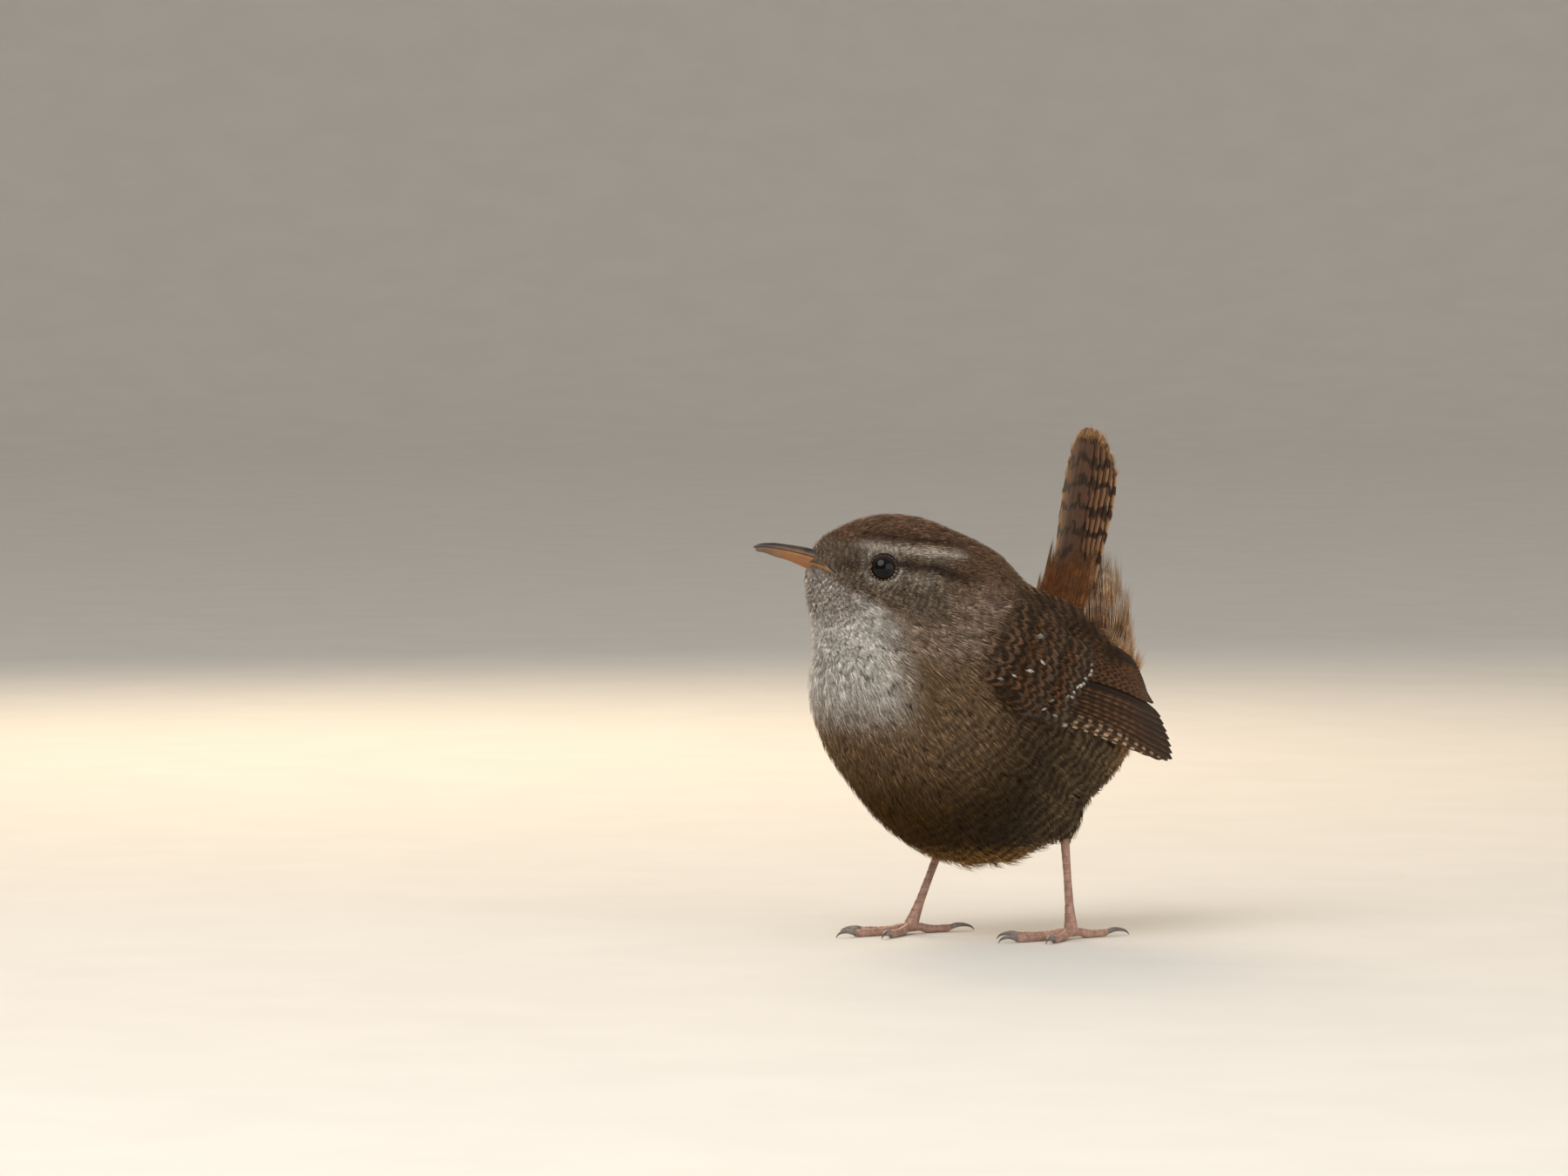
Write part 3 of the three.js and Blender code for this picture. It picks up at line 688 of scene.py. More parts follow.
def drawn_out(name, centre):
    """A ball whose points are moved out from its centre to the plumage's form."""
    nothing_selected()
    bpy.ops.mesh.primitive_ico_sphere_add(subdivisions=6, radius=1)
    ob = just_added(name)
    ray = unit(corners_of(ob))
    reach = last_inside(lambda far: centre + ray * far[:, None], len(ray), 60.0, 0, 18)
    move_points(ob, centre + ray * reach[:, None])
    return ob


def make_skin(settings, colours):
    """One skin for head, neck, torso and thighs, as deep under the coat as the coat is thick."""
    parts = [drawn_out("trunk_form", TRUNK_CENTRE), drawn_out("head_form", from_head((2, 0, 0)))]
    for side, leg in LEGS.items():
        parts.append(limb(f"thigh_form_{side}", thigh_line(leg), THIGH_RADII, 24, 14, top=(1, 0, 0)))
    skin = only(joined("skin", parts))
    remesh = skin.modifiers.new("skin", "REMESH")
    remesh.mode = "VOXEL"
    remesh.voxel_size = settings.skin_voxel
    bpy.ops.object.modifier_apply(modifier=remesh.name)
    points = points_of(skin)
    points = settled(points, -coat_depth(points, settings), rounds=5)
    move_points(skin, points)
    faces_out(skin)
    tint, bar_tint, bars, phase = markings(points, colours)
    # The skin's colours are painted darker than the coat's, as shade deep under the feathers
    paint(skin, {"tint": 0.8 * tint, "bar_tint": 0.8 * bar_tint, "bars": bars, "phase": phase})
    bpy.ops.object.mode_set(mode="EDIT")
    bpy.ops.mesh.select_all(action="SELECT")
    bpy.ops.uv.smart_project(angle_limit=math.radians(70), island_margin=0.002)
    bpy.ops.object.mode_set(mode="OBJECT")
    skin.data.uv_layers.active.name = "Unwrap"
    return dressed(
        skin,
        feather_material("skin_down", 0.5, 1.3, roughness=0.9),
        ["head", "neck", "torso", "thigh_left", "thigh_right"],
    )


# Barbs: every soft feather is a fan of fine closed blades

STATIONS = np.array([0.0, 0.5, 1.0])  # root, bend and tip of a barb
STATION_OF = np.array([0, 1, 1, 1, 2])  # of each of a blade's five points
BLADE = np.array([[1, 2, 0], [2, 3, 0], [3, 1, 0], [2, 1, 4], [3, 2, 4], [1, 3, 4]])
BLADE_ROOF = 0.45  # height of a blade's ridge, as a share of its width
PATCH = 0.003  # width of a feather's patch on the coat's map
MOST_TRIANGLES = 200_000
TRIES = 12  # feather roots tried for each that finds room
RISE = np.array([0.3, 0.82, 1.0])  # how far a barb of the coat has come up at each station
# Painted shade: barbs are painted darker towards the root, where the coat lies over them, and lighter at the
# tip
PAINTED_SHADE_AT = np.array([0.62, 0.92, 1.14])  # barbs are darker towards the root
BARB_SPREAD = (0.75, 1.2)  # the thinnest and the widest barb, as shares of the usual one


def fan(count, per_feather, ragged, rng):
    """Where barbs run in their feather: along and across at each station, as shares, and their place."""
    place = (np.arange(per_feather) + 0.5) / per_feather * 2 - 1
    place = place + rng.uniform(-0.6, 0.6, (count, per_feather)) / per_feather
    start = 0.04 + 0.4 * rng.random((count, per_feather)) ** 1.5
    end = (1 - 0.22 * place**2) * (1 - ragged * rng.random((count, per_feather)))
    along = start[..., None] + (end - start)[..., None] * STATIONS
    across = place[..., None] * np.array([0.25, 0.8, 1.0])
    across[..., 2] += rng.normal(0, 0.3 * ragged, (count, per_feather))
    return along, across, place


def blades(points, outward, width):
    """Corners of closed blades along barbs of three stations, pointed at both ends."""
    bend, out = points[:, 1], outward[:, 1]
    side = unit(np.cross(points[:, 2] - points[:, 0], out)) * width[:, None] / 2
    roof = out * width[:, None] * BLADE_ROOF
    return np.stack([points[:, 0], bend - side, bend + side, bend + roof, points[:, 2]], 1)


def blade_piece(name, points, outward, width, shades, patch, material):
    """One object out of many barbs. shades hold a value for each barb and station."""
    corners = blades(points, outward, width)
    count = len(corners)
    triangles = (BLADE[None] + 5 * np.arange(count)[:, None, None]).reshape(-1, 3)
    if len(triangles) >= MOST_TRIANGLES:
        raise RuntimeError(f"{name} has {len(triangles)} triangles, too many for one piece")
    spread = {}
    for key, values in shades.items():
        values = values[:, STATION_OF]
        spread[key] = values.reshape(count * 5, -1) if values.ndim == 3 else values.reshape(-1)
    sliver = np.array([0.5, 0, 1, 0.5, 0.5]) * PATCH * 0.2
    ends = patch[:, STATION_OF] + np.stack([np.tile(sliver, (count, 1)), np.zeros((count, 5))], -1)
    ob = mesh_piece(name, corners.reshape(-1, 3), triangles, spread, ends.reshape(-1, 2))
    return dressed(ob, material)


def skin_places(skin):
    """The skin's triangles: corners, areas, and each corner's place on the skin's unwrap."""
    mesh = skin.data
    mesh.calc_loop_triangles()
    count = len(mesh.loop_triangles)
    corners, loops = np.empty(count * 3, np.int32), np.empty(count * 3, np.int32)
    mesh.loop_triangles.foreach_get("vertices", corners)
    mesh.loop_triangles.foreach_get("loops", loops)
    flat = np.empty(len(mesh.loops) * 2, np.float32)
    mesh.uv_layers["Unwrap"].data.foreach_get("uv", flat)
    triangles = points_of(skin)[corners.reshape(-1, 3)]
    places = flat.reshape(-1, 2)[loops.reshape(-1, 3)]
    edges = triangles[:, 1:] - triangles[:, :1]
    area = np.linalg.norm(np.cross(edges[:, 0], edges[:, 1]), axis=-1) / 2
    return triangles, places, area


def scattered(skin, settings, rng):
    """Roots of the body's feathers on the skin, no two nearer than their spacing, and their unwrap."""
    triangles, places, area = skin_places(skin)
    middle = triangles.mean(1)
    spacing = coat_size(settings, "spacing", on_head(middle))
    weight = area / spacing**2
    count = int(weight.sum() * TRIES)
    pick = rng.choice(len(area), count, p=weight / weight.sum())
    a, b = rng.random((2, count))
    a, b = np.where(a + b > 1, 1 - a, a), np.where(a + b > 1, 1 - b, b)
    shares = np.stack([1 - a - b, a, b], 1)[..., None]
    roots = (triangles[pick] * shares).sum(1)
    unwrap = (places[pick] * shares).sum(1)
    wanted = np.flatnonzero(grows(roots))
    roots, unwrap, spacing = roots[wanted], unwrap[wanted], spacing[pick][wanted]
    tree = KDTree(len(roots))
    for i, root in enumerate(roots):
        tree.insert(root, i)
    tree.balance()
    free = np.ones(len(roots), bool)
    kept = []
    for i, root in enumerate(roots):
        if not free[i]:
            continue
        kept.append(i)
        for _, j, _ in tree.find_range(root, spacing[i]):
            free[j] = False
    kept = np.array(kept)
    return roots[kept], unwrap[kept]


def grows(points):
    """False in the eyes, inside the bill, and well under a folded wing."""
    ahead, left, up = in_head(points).T
    eye = (np.hypot(ahead - EYE_AHEAD, up - EYE_UP) < EYE_CLEAR) & (np.abs(left) > FACE_SIDE)
    bill = (ahead > 12.5) & (np.hypot(left / 1.9, (up - 1.9) / 2.1) < 1)
    corner, thick = (np.interp(ahead, GAPE[::-1, 0], GAPE[::-1, k]) for k in (1, 2))
    bill |= (ahead > 9.8) & (np.abs(up - corner) < 1.15 * thick)
    bill |= (ahead > 12.8) & (up > 0.8) & (up < 3.2)
    along, across = on_wing(points)
    wing = (along > -1) & (along < 26) & (across > 0) & (across < 11) & (np.abs(points[:, 1]) > 6)
    return ~(eye | bill | wing)


def on_wing(points):
    """Places along and across the folded wing."""
    back, up = points[:, 0] - WRIST[0], points[:, 2] - WRIST[2]
    c, s = math.cos(WING_DROOP), math.sin(WING_DROOP)
    return back * c - up * s, back * s + up * c


def over_wing(points):
    """How much higher the ends of the coat lie where they cover the front of the wing."""
    along, across = on_wing(points)
    side = smooth(5, 9, np.abs(points[:, 1]))
    return 0.9 * smooth(-8, 0, along) * smooth(-5, 0, across) * smooth(16, 11, across) * side


TAIL_LEAN = math.radians(10)
UP_TAIL = np.array([math.sin(TAIL_LEAN), 0, math.cos(TAIL_LEAN)])
OFF_TAIL = np.array([-math.cos(TAIL_LEAN), 0, math.sin(TAIL_LEAN)])


def lie(points, outward):
    """Which way the coat lies: back from the bill, down the legs, and up along the tail."""
    away = unit(points - from_head(BILL_ROOT))
    leg = down_leg(points)[:, None]
    away = unit(away * (1 - leg) + np.array([0.25, 0, -1]) * leg)
    tail = (smooth(12, 20, points[:, 0]) * smooth(33, 43, points[:, 2]))[:, None]
    away = unit(away * (1 - tail) + UP_TAIL * tail)
    ahead, left, up = in_head(points).T
    eye_side = np.stack([ahead - EYE_AHEAD, np.zeros(len(points)), up - EYE_UP], 1)
    rim = np.linalg.norm(eye_side, axis=-1) - EYE_CLEAR
    push = 0.9 * np.exp(-np.maximum(rim, 0) / 1.1) * (np.abs(left) > FACE_SIDE)
    away = away + (unit(eye_side) @ HEAD_TURN) * push[:, None]
    return unit(away - outward * (away * outward).sum(-1, keepdims=True))


# Coat pieces, each with what decides that a root belongs to it, tried in this order
COAT_REGIONS = (
    ("coat_head_left", lambda p: (on_head(p) > 0.6) & (in_head(p)[:, 1] > 0)),
    ("coat_head_right", lambda p: on_head(p) > 0.6),
    ("coat_back", lambda p: (p[:, 2] > 46) & (p[:, 0] > -16)),
    ("coat_breast_left", lambda p: (p[:, 0] < -12) & (p[:, 1] < 0)),
    ("coat_breast_right", lambda p: p[:, 0] < -12),
    ("coat_belly_left", lambda p: p[:, 1] < 0),
    ("coat_belly_right", lambda p: p[:, 1] >= 0),
)


def make_coat(skin, settings, colours):
    """The soft feathers of head and body, as one object for each region."""
    rng = np.random.default_rng(7)
    roots, unwrap = scattered(skin, settings, rng)
    material = feather_material("body_plumage", 0.55, 1.3)
    left_over = np.ones(len(roots), bool)
    for name, belongs in COAT_REGIONS:
        here = left_over & belongs(roots)
        left_over &= ~here
        per_feather = settings.head_barbs if "head" in name else settings.body_barbs
        coat_piece(name, roots[here], unwrap[here], per_feather, settings, colours, material, rng)


def coat_piece(name, roots, unwrap, per_feather, settings, colours, material, rng):
    """A region of the coat: feathers that grow at its roots, lie along the body and cover each other."""
    count = len(roots)
    outward = unit(plumage(roots, thighs=True)[1])
    ahead = lie(roots, outward)
    yaw = rng.normal(0, 0.13, count)[:, None]
    ahead = unit(ahead + np.cross(outward, ahead) * yaw)
    across = np.cross(outward, ahead)

    # Where the feathers are finer, shorter, longer or looser than on the rest of the body
    head, leg = on_head(roots), down_leg(roots)
    forward, left, up = in_head(roots).T
    crown = head * smooth(3.8, 5.2, up - 0.11 * forward)
    throat = head * smooth(-2.5, -4.5, up) * smooth(-2, 3, forward)
    cheek = head * smooth(-9, 0, forward) * smooth(4, 1, up)
    pale = smooth(-19, -24, roots[:, 0]) * smooth(36, 42, roots[:, 2]) * (1 - cheek)
    under = (1 - head) * smooth(20, 12.5, roots[:, 2])
    rim = np.hypot(forward - EYE_AHEAD, up - EYE_UP) - EYE_CLEAR

    length = coat_size(settings, "length", head) * (1 - 0.45 * leg) * rng.uniform(0.88, 1.15, count)
    length = length * (1 - 0.5 * smooth(7, 13, forward) * head) * (1 + 0.45 * crown)
    length = length * (1 + 0.5 * throat + 0.25 * pale * (1 - head))
    length = length * (0.5 + 0.5 * smooth(0, 2.5, np.where(np.abs(left) > FACE_SIDE, rim, 9)))
    half = 1.15 * coat_size(settings, "spacing", head) * (1 - 0.3 * leg)
    depth = coat_depth(roots, settings)
    along_share, across_share, place = fan(count, per_feather, 0.3, rng)
    points = roots[:, None, None] + ahead[:, None, None] * (along_share * length[:, None, None])[..., None]
    points = points + across[:, None, None] * (across_share * half[:, None, None])[..., None]
    loose = 0.45 + 0.35 * (1 - head) + 0.9 * under
    stray = loose[:, None] * rng.random(place.shape) ** 7
    clump = 1.5 * under * rng.random(count) ** 2
    top = (0.05 + 0.12 * (1 - head))[:, None] * (1 - place**2) + stray + clump[:, None]
    height = -depth[:, None, None] + (depth[:, None] + top)[..., None] * RISE
    height = height + over_wing(points.reshape(-1, 3)).reshape(height.shape) * RISE
    flat = settled(points.reshape(-1, 3), height.reshape(-1))
    out = unit(plumage(flat, thighs=True)[1]).reshape(-1, 3, 3)

    # Each feather has a shade of its own, and each barb in it too
    tint, bar_tint, bars, phase = markings(flat, colours)
    light = np.maximum(pale, throat)
    value = np.exp(rng.normal(0, 1, count) * (0.09 + 0.12 * cheek + 0.14 * crown))
    contrast = np.repeat(0.36 + 0.12 * crown - 0.16 * light, per_feather)
    value = np.repeat(value, per_feather) * np.exp(rng.normal(-0.03, 1, count * per_feather) * contrast)
    # Painted shade at the roots of the barbs, kept fainter on the pale throat and breast
    painted_root_shade = PAINTED_SHADE_AT + (1 - PAINTED_SHADE_AT) * 0.6 * np.repeat(light, per_feather)[:, None]
    shade = (value[:, None] * painted_root_shade)[..., None]
    jitter = np.repeat(rng.normal(0, 0.1, count), per_feather)[:, None]
    shape = (count * per_feather, 3)
    shades = {
        "tint": np.clip(tint.reshape(*shape, 3) * shade, 0, 1),
        "bar_tint": np.clip(bar_tint.reshape(*shape, 3) * shade, 0, 1),
        "bars": bars.reshape(shape),
        "phase": phase.reshape(shape) + jitter,
    }
    width = np.repeat(coat_size(settings, "barb_width", head) * (1 - 0.2 * pale), per_feather)
    width = width * rng.uniform(*BARB_SPREAD, count * per_feather)
    patch = patches(unwrap, along_share, across_share)
    blade_piece(name, flat.reshape(-1, 3, 3), out, width, shades, patch, material)


def patches(unwrap, along, across):
    """Each barb's stations on the coat's map, in its feather's patch."""
    inside = np.stack([0.5 + 0.4 * across, along], -1)
    return (unwrap[:, None, None] + (inside - 0.5) * PATCH).reshape(-1, 3, 2)


# Vanes: stiff feathers with a shaft, as thin closed blades that lie on a surface

WIDEST = 0.45
VANE_REACH = 0.553
COLUMNS = np.array([-1, -0.72, -0.4, -0.12, -0.045, 0, 0.045, 0.12, 0.4, 0.72, 1])
SHAFT = np.array([0, 0, 0, 0, 0.6, 1, 0.6, 0, 0, 0, 0])
ROWS = 26
VANE_THICK = 0.16
SHAFT_HIGH = 0.14
RIB_STEP = 0.34  # from one rib of the web to the next
CHART_COLUMNS = 12  # feathers side by side on the map of a piece


def vane_faces():
    """Triangles of one closed vane: two faces of ROWS by COLUMNS points, and the strips round them."""
    wide = len(COLUMNS)
    top = np.arange(ROWS * wide).reshape(ROWS, wide)
    under = top + ROWS * wide

    def quads(a, b, c, d):
        corners = [part.ravel() for part in (a, b, c, d)]
        return np.concatenate([np.stack([corners[i] for i in order], 1) for order in ((0, 1, 2), (0, 2, 3))])

    parts = [
        quads(top[:-1, :-1], top[:-1, 1:], top[1:, 1:], top[1:, :-1]),
        quads(under[:-1, :-1], under[1:, :-1], under[1:, 1:], under[:-1, 1:]),
        quads(top[:-1, 0], top[1:, 0], under[1:, 0], under[:-1, 0]),
        quads(top[1:, -1], top[:-1, -1], under[:-1, -1], under[1:, -1]),
        quads(top[0, 1:], top[0, :-1], under[0, :-1], under[0, 1:]),
        quads(top[-1, :-1], top[-1, 1:], under[-1, 1:], under[-1, :-1]),
    ]
    return np.concatenate(parts)


VANE_FACES = vane_faces()


def signed_volume(points, triangles):
    a, b, c = (points[triangles[:, k]] for k in range(3))
    return np.einsum("nk,nk->", a, np.cross(b, c))


def vane(place, rng, root, tip, half, lift, tilt, bow):
    """Points, triangles, own places (share along, share across, millimetres along) and half width."""
    root, tip = np.array(root, float), np.array(tip, float)
    along = tip - root
    long = np.linalg.norm(along)
    across = np.array([-along[1], along[0]]) / long
    u = (1 - (1 - np.linspace(0, 1, ROWS)) ** 1.4)[:, None]
    width = half * np.sqrt(np.maximum(1 - ((u - WIDEST) / VANE_REACH) ** 4, 0.0009))
    fray = 1 + 0.03 * rng.normal(size=(ROWS, 2))
    edge = np.where(COLUMNS < 0, fray[:, :1], fray[:, 1:]) * COLUMNS
    off = width * edge + bow * 4 * u * (1 - u)
    flat = (root + u * along)[:, None] + off[..., None] * across
    rise = lift - COLUMNS * tilt - 0.1 * COLUMNS**2
    thick = VANE_THICK * (1 - 0.7 * COLUMNS**2) / 2
    shaft = SHAFT * SHAFT_HIGH * (1 - 0.7 * u)
    points = np.concatenate(
        [
            place(flat[..., 0].ravel(), flat[..., 1].ravel(), face.ravel())
            for face in (rise + thick + shaft, rise - thick - 0.4 * shaft)
        ]
    )
    own = np.stack(np.broadcast_arrays(u, COLUMNS, u * long), -1)
    triangles = VANE_FACES if signed_volume(points, VANE_FACES) > 0 else VANE_FACES[:, ::-1]
    return points, triangles, np.tile(own.reshape(-1, 3), (2, 1)), width.max()


def vane_piece(name, feathers, rng, material, replaced):
    """One object out of many vanes, each a dict of its mesh, colours and bars."""
    points, triangles, chart = [], [], []
    shades = {key: [] for key in ("tint", "bar_tint", "bars", "phase", "rib")}
    start = 0
    for i, feather in enumerate(feathers):
        corner, faces, own, half = feather["made"]
        points.append(corner)
        triangles.append(faces + start)
        start += len(corner)
        share, side, far = own.T
        streaks = np.exp(rng.normal(0, 0.16, len(COLUMNS)))[np.arange(len(own)) % len(COLUMNS)]
        dim = (0.6 + 0.4 * smooth(0.1, 0.6, share)) * streaks * np.exp(rng.normal(0, 0.05, len(own)))
        outer = side * feather["outer"]
        tint = mixed(np.tile(feather["tint"], (len(own), 1)), feather["edge"], smooth(0.66, 0.95, outer))
        # Painted shadow: each web darkens away from its outer edge, where the next feather's edge lies over
        # it
        dim = dim * (1 - feather["depth"] * smooth(0.8, 0.35, outer))
        shades["tint"].append(tint * dim[:, None])
        shades["bar_tint"].append(np.asarray(feather["bar_tint"])[None] * dim[:, None])
        shades["bars"].append(feather["bars"](share, side))
        shades["phase"].append((far + 0.5 * half * np.abs(side)) / feather["spacing"] + feather["shift"])
        shades["rib"].append((far + 1.1 * half * np.abs(side)) / RIB_STEP)
        row, col = divmod(i, CHART_COLUMNS)
        spot = np.array([0.05 + 0.075 * col, 0.04 + 0.12 * row])
        chart.append(spot + np.stack([0.03 * (side + 1), 0.1 * share], 1))
    shades = {key: np.concatenate(values) for key, values in shades.items()}
    points, triangles, chart = (np.concatenate(values) for values in (points, triangles, chart))
    return dressed(mesh_piece(name, points, triangles, shades, chart), material, replaced)


def fan_piece(name, place, feathers, per_feather, barb_width, rng, material):
    """Soft feathers laid on a surface, each a fan of barbs. feathers hold arrays, one row a feather."""
    count = len(feathers["root"])
    line = feathers["tip"] - feathers["root"]
    long = np.linalg.norm(line, axis=1)
    across_way = np.stack([-line[:, 1], line[:, 0]], 1) / long[:, None]
    half, root_lift, tip_lift = (feathers[key][:, None, None] for key in ("half", "lift", "tip_lift"))
    along, across, spot = fan(count, per_feather, 0.14, rng)
    flat = feathers["root"][:, None, None] + line[:, None, None] * along[..., None]
    flat = flat + across_way[:, None, None] * (across * half)[..., None]
    dome = feathers["dome"][:, None, None] * (1 - spot[..., None] ** 2) * np.array([0.0, 0.8, 1.0])
    loose = feathers["loose"][:, None] * rng.random(spot.shape) ** 3
    lift = root_lift + (tip_lift - root_lift) * along
    lift = lift + dome + loose[..., None] * np.array([0, 0.4, 1.0])
    a, b, c = flat[..., 0].ravel(), flat[..., 1].ravel(), lift.ravel()
    points = place(a, b, c)
    out = np.cross(place(a + FEEL, b, c) - points, place(a, b + FEEL, c) - points)
    out = unit(out) * feathers["turn"]

    def each(key):
        """A feather's value for each of its barbs."""
        return np.repeat(feathers[key], per_feather, axis=0)

    def at_stations(key):
        """A feather's value for each station of each of its barbs."""
        return np.repeat(each(key)[:, None], 3, 1)

    shape = (count * per_feather, 3)
    value = np.repeat(np.exp(rng.normal(0, 0.12, count)), per_feather)
    value = value * np.exp(rng.normal(-0.02, 0.24, count * per_feather))
    # Painted shade: each barb is painted darker towards its root and lighter at its tip
    shade = (value[:, None] * PAINTED_SHADE_AT)[..., None]
    at_tip = np.tile(np.array([0.0, 0.0, 1.0]), (shape[0], 1)) * each("tip_share")[:, None]
    tint = mixed(at_stations("tint") * shade, at_stations("tip_tint"), at_tip)
    far = (along * long[:, None, None] + 0.9 * np.abs(across) ** 1.5 * half).reshape(shape)
    shades = {
        "tint": np.clip(tint, 0, 1),
        "bar_tint": np.clip(at_stations("bar_tint") * shade, 0, 1),
        "bars": at_stations("bars"),
        "phase": far / each("spacing")[:, None] + each("shift")[:, None],
    }
    width = barb_width * rng.uniform(*BARB_SPREAD, count * per_feather)
    spread = np.stack([(np.arange(count) * 0.618) % 1, np.arange(count) / count], 1)
    patch = patches(0.06 + 0.88 * spread, along, across)
    points, out = points.reshape(-1, 3, 3), out.reshape(-1, 3, 3)
    return blade_piece(name, points, out, width, shades, patch, material)


FEATHER_KEYS = (
    *("root", "tip", "half", "lift", "tip_lift", "dome", "loose"),
    *("tint", "tip_tint", "tip_share", "bar_tint", "bars", "spacing"),
)


def between(count, first, last):
    """Numbers or pairs from first to last."""
    share = np.linspace(0, 1, count)
    first, last = np.asarray(first, float), np.asarray(last, float)
    return first + (last - first) * share.reshape(-1, *[1] * first.ndim)


def feather_rows(rows, turn, rng):
    """Arrays for fan_piece from rows of feathers, each between a first and a last one."""
    made = {key: [] for key in FEATHER_KEYS}
    for count, first, last in rows:
        for key in FEATHER_KEYS:
            made[key].append(between(count, first[key], last.get(key, first[key])))
    made = {key: np.concatenate(values) for key, values in made.items()}
    total = len(made["half"])
    made["tip"] = made["tip"] + rng.normal(0, 0.25, (total, 2))
    made["shift"] = rng.normal(0, 0.3, total)
    made["spacing"] = made["spacing"] * rng.uniform(0.85, 1.15, total)
    made["turn"] = turn
    return made


def row_maker(base):
    """A function that describes a row of like feathers by its first and its last one."""

    def row(count, first_root, first_tip, last_root, last_tip, half, lift, tip_lift, **more):
        first = {"root": first_root, "tip": first_tip, "lift": lift[0], "tip_lift": tip_lift[0]}
        last = {"root": last_root, "tip": last_tip, "lift": lift[1], "tip_lift": tip_lift[1]}
        return count, base | first | {"half": half} | more, last

    return row


# The folded wings: along runs from the wrist to the tip, across runs up over the back

WRIST = np.array([-10.0, 0.0, 46.5])
WING_DROOP = math.radians(30.6)
WING_LENGTH = 44
WING_SPREAD = 18.8
FULLEST = 14
TIP_TUCK = 10
TOP_TUCK = 0.045
TOP_LIMIT = 13.2
WING_BED = 0.9
GAP = 0.3
FEEL = 0.2  # how far a surface is felt along and across to find its outward direction
GRID_STEP = 0.75
GRID_ALONG = np.arange(-8.0, 52.0, GRID_STEP)
GRID_ACROSS = np.arange(-9.0, 23.0, GRID_STEP)


def body_side(x, z):
    """Half the bird's width at a height and a distance back."""
    return last_inside(lambda far: np.stack([x, far, z], 1), len(x), 30.0, GAP, 16)


def wing_plane(along, across):
    x = WRIST[0] + along * math.cos(WING_DROOP) + across * math.sin(WING_DROOP)
    z = WRIST[2] - along * math.sin(WING_DROOP) + across * math.cos(WING_DROOP)
    return x, z


def sided_grid():
    """The body's half width under the wing, on an even grid."""
    a, b = np.meshgrid(GRID_ALONG, GRID_ACROSS, indexing="ij")
    x, z = wing_plane(a.ravel(), b.ravel())
    return body_side(x, z).reshape(a.shape)


def wing_surface(side, grid):
    """A function that lays wing feathers: along, across and lift to a point of the bird."""

    def place(along, across, lift, on_body=False):
        x, z = wing_plane(along, across)
        i = np.clip((along - GRID_ALONG[0]) / GRID_STEP, 0, len(GRID_ALONG) - 1.001)
        j = np.clip((across - GRID_ACROSS[0]) / GRID_STEP, 0, len(GRID_ACROSS) - 1.001)
        i0, j0 = i.astype(int), j.astype(int)
        s, t = i - i0, j - j0
        low = grid[i0, j0] * (1 - s) + grid[i0 + 1, j0] * s
        high = grid[i0, j0 + 1] * (1 - s) + grid[i0 + 1, j0 + 1] * s
        body = low * (1 - t) + high * t
        tuck = ((along - FULLEST) / (WING_LENGTH - FULLEST)) ** 2
        plate = WING_SPREAD - TIP_TUCK * tuck - TOP_TUCK * np.clip(across, 0, TOP_LIMIT) ** 2
        rest = np.logaddexp(body + WING_BED, plate)
        y = side * (body + lift if on_body else rest + lift)
        return np.stack([x, y, z], 1)

    return place


PRIMARIES = 12
SECONDARIES = 13
PRIMARY_TIPS = ((31, 2), (36.2, 3), (41, 4.2), (44, 5.6), (43.4, 7), (42, 8.4), (40.2, 9.7), (38.4, 10.9))


def wing_vanes(place, colours, rng):
    """Primaries and secondaries."""
    made = []
    dark, buff, warm = tones(colours, "flight", "flight_bar", "covert")

    def add(root, tip, half, lift, tilt, bow, tint, **look):
        feather = vane(place, rng, root, tip, half, lift, tilt, bow)
        look |= {"made": feather, "tint": tint * rng.uniform(0.85, 1.15), "outer": -1}
        made.append(look | {"shift": 0.25 * rng.normal()})

    ranks = np.arange(len(PRIMARY_TIPS))
    for rank in between(PRIMARIES, ranks[0], ranks[-1]):
        spots = (1 - 0.9 * smooth(2.2, 3.8, rank)) * (0.25 if len(made) % 2 else 1.0)

        def outer_web(share, side, spots=spots):
            ends = smooth(0.1, 0.2, share) * smooth(1.02, 0.9, share)
            return np.maximum(spots, 0.75 * smooth(0.8, 0.45, share)) * smooth(0.5, 0.7, -side) * ends

        tip = [np.interp(rank, ranks, ways) for ways in zip(*PRIMARY_TIPS)]
        add(
            (12, -2.4 + rank),
            tip,
            half=1.15,
            lift=0.1 + 0.07 * rank,
            tilt=0.14,
            bow=0.5,
            tint=0.85 * dark + 0.15 * warm,
            edge=mixed(dark, 1.1 * warm, 1 - 0.75 * spots),
            bar_tint=mixed(1.5 * warm, buff, spots),
            bars=outer_web,
            spacing=2.4,
            # depth sets how dark the painted shadow grows inside the visible strip of the web
            depth=0.7,
        )

    def whole_web(share, side):
        return 0.9 * smooth(0.1, 0.2, share) * (1 - 0.5 * smooth(0.6, 0.9, share))

    roots = between(SECONDARIES, (11, 6), (10, 10.6))
    tips = between(SECONDARIES, (36, 12.3), (28.5, 15.2))
    for root, tip, lift in zip(roots, tips, between(SECONDARIES, 0.7, 1.0)):
        add(
            root,
            tip,
            half=1.3,
            lift=lift,
            tilt=0.2,
            bow=0.8,
            tint=0.55 * dark + 0.45 * warm,
            edge=1.25 * warm,
            bar_tint=0.45 * dark,
            bars=whole_web,
            spacing=1.9,
            # depth sets how dark the painted shadow grows inside the visible strip of the web
            depth=0.6,
        )
    return made


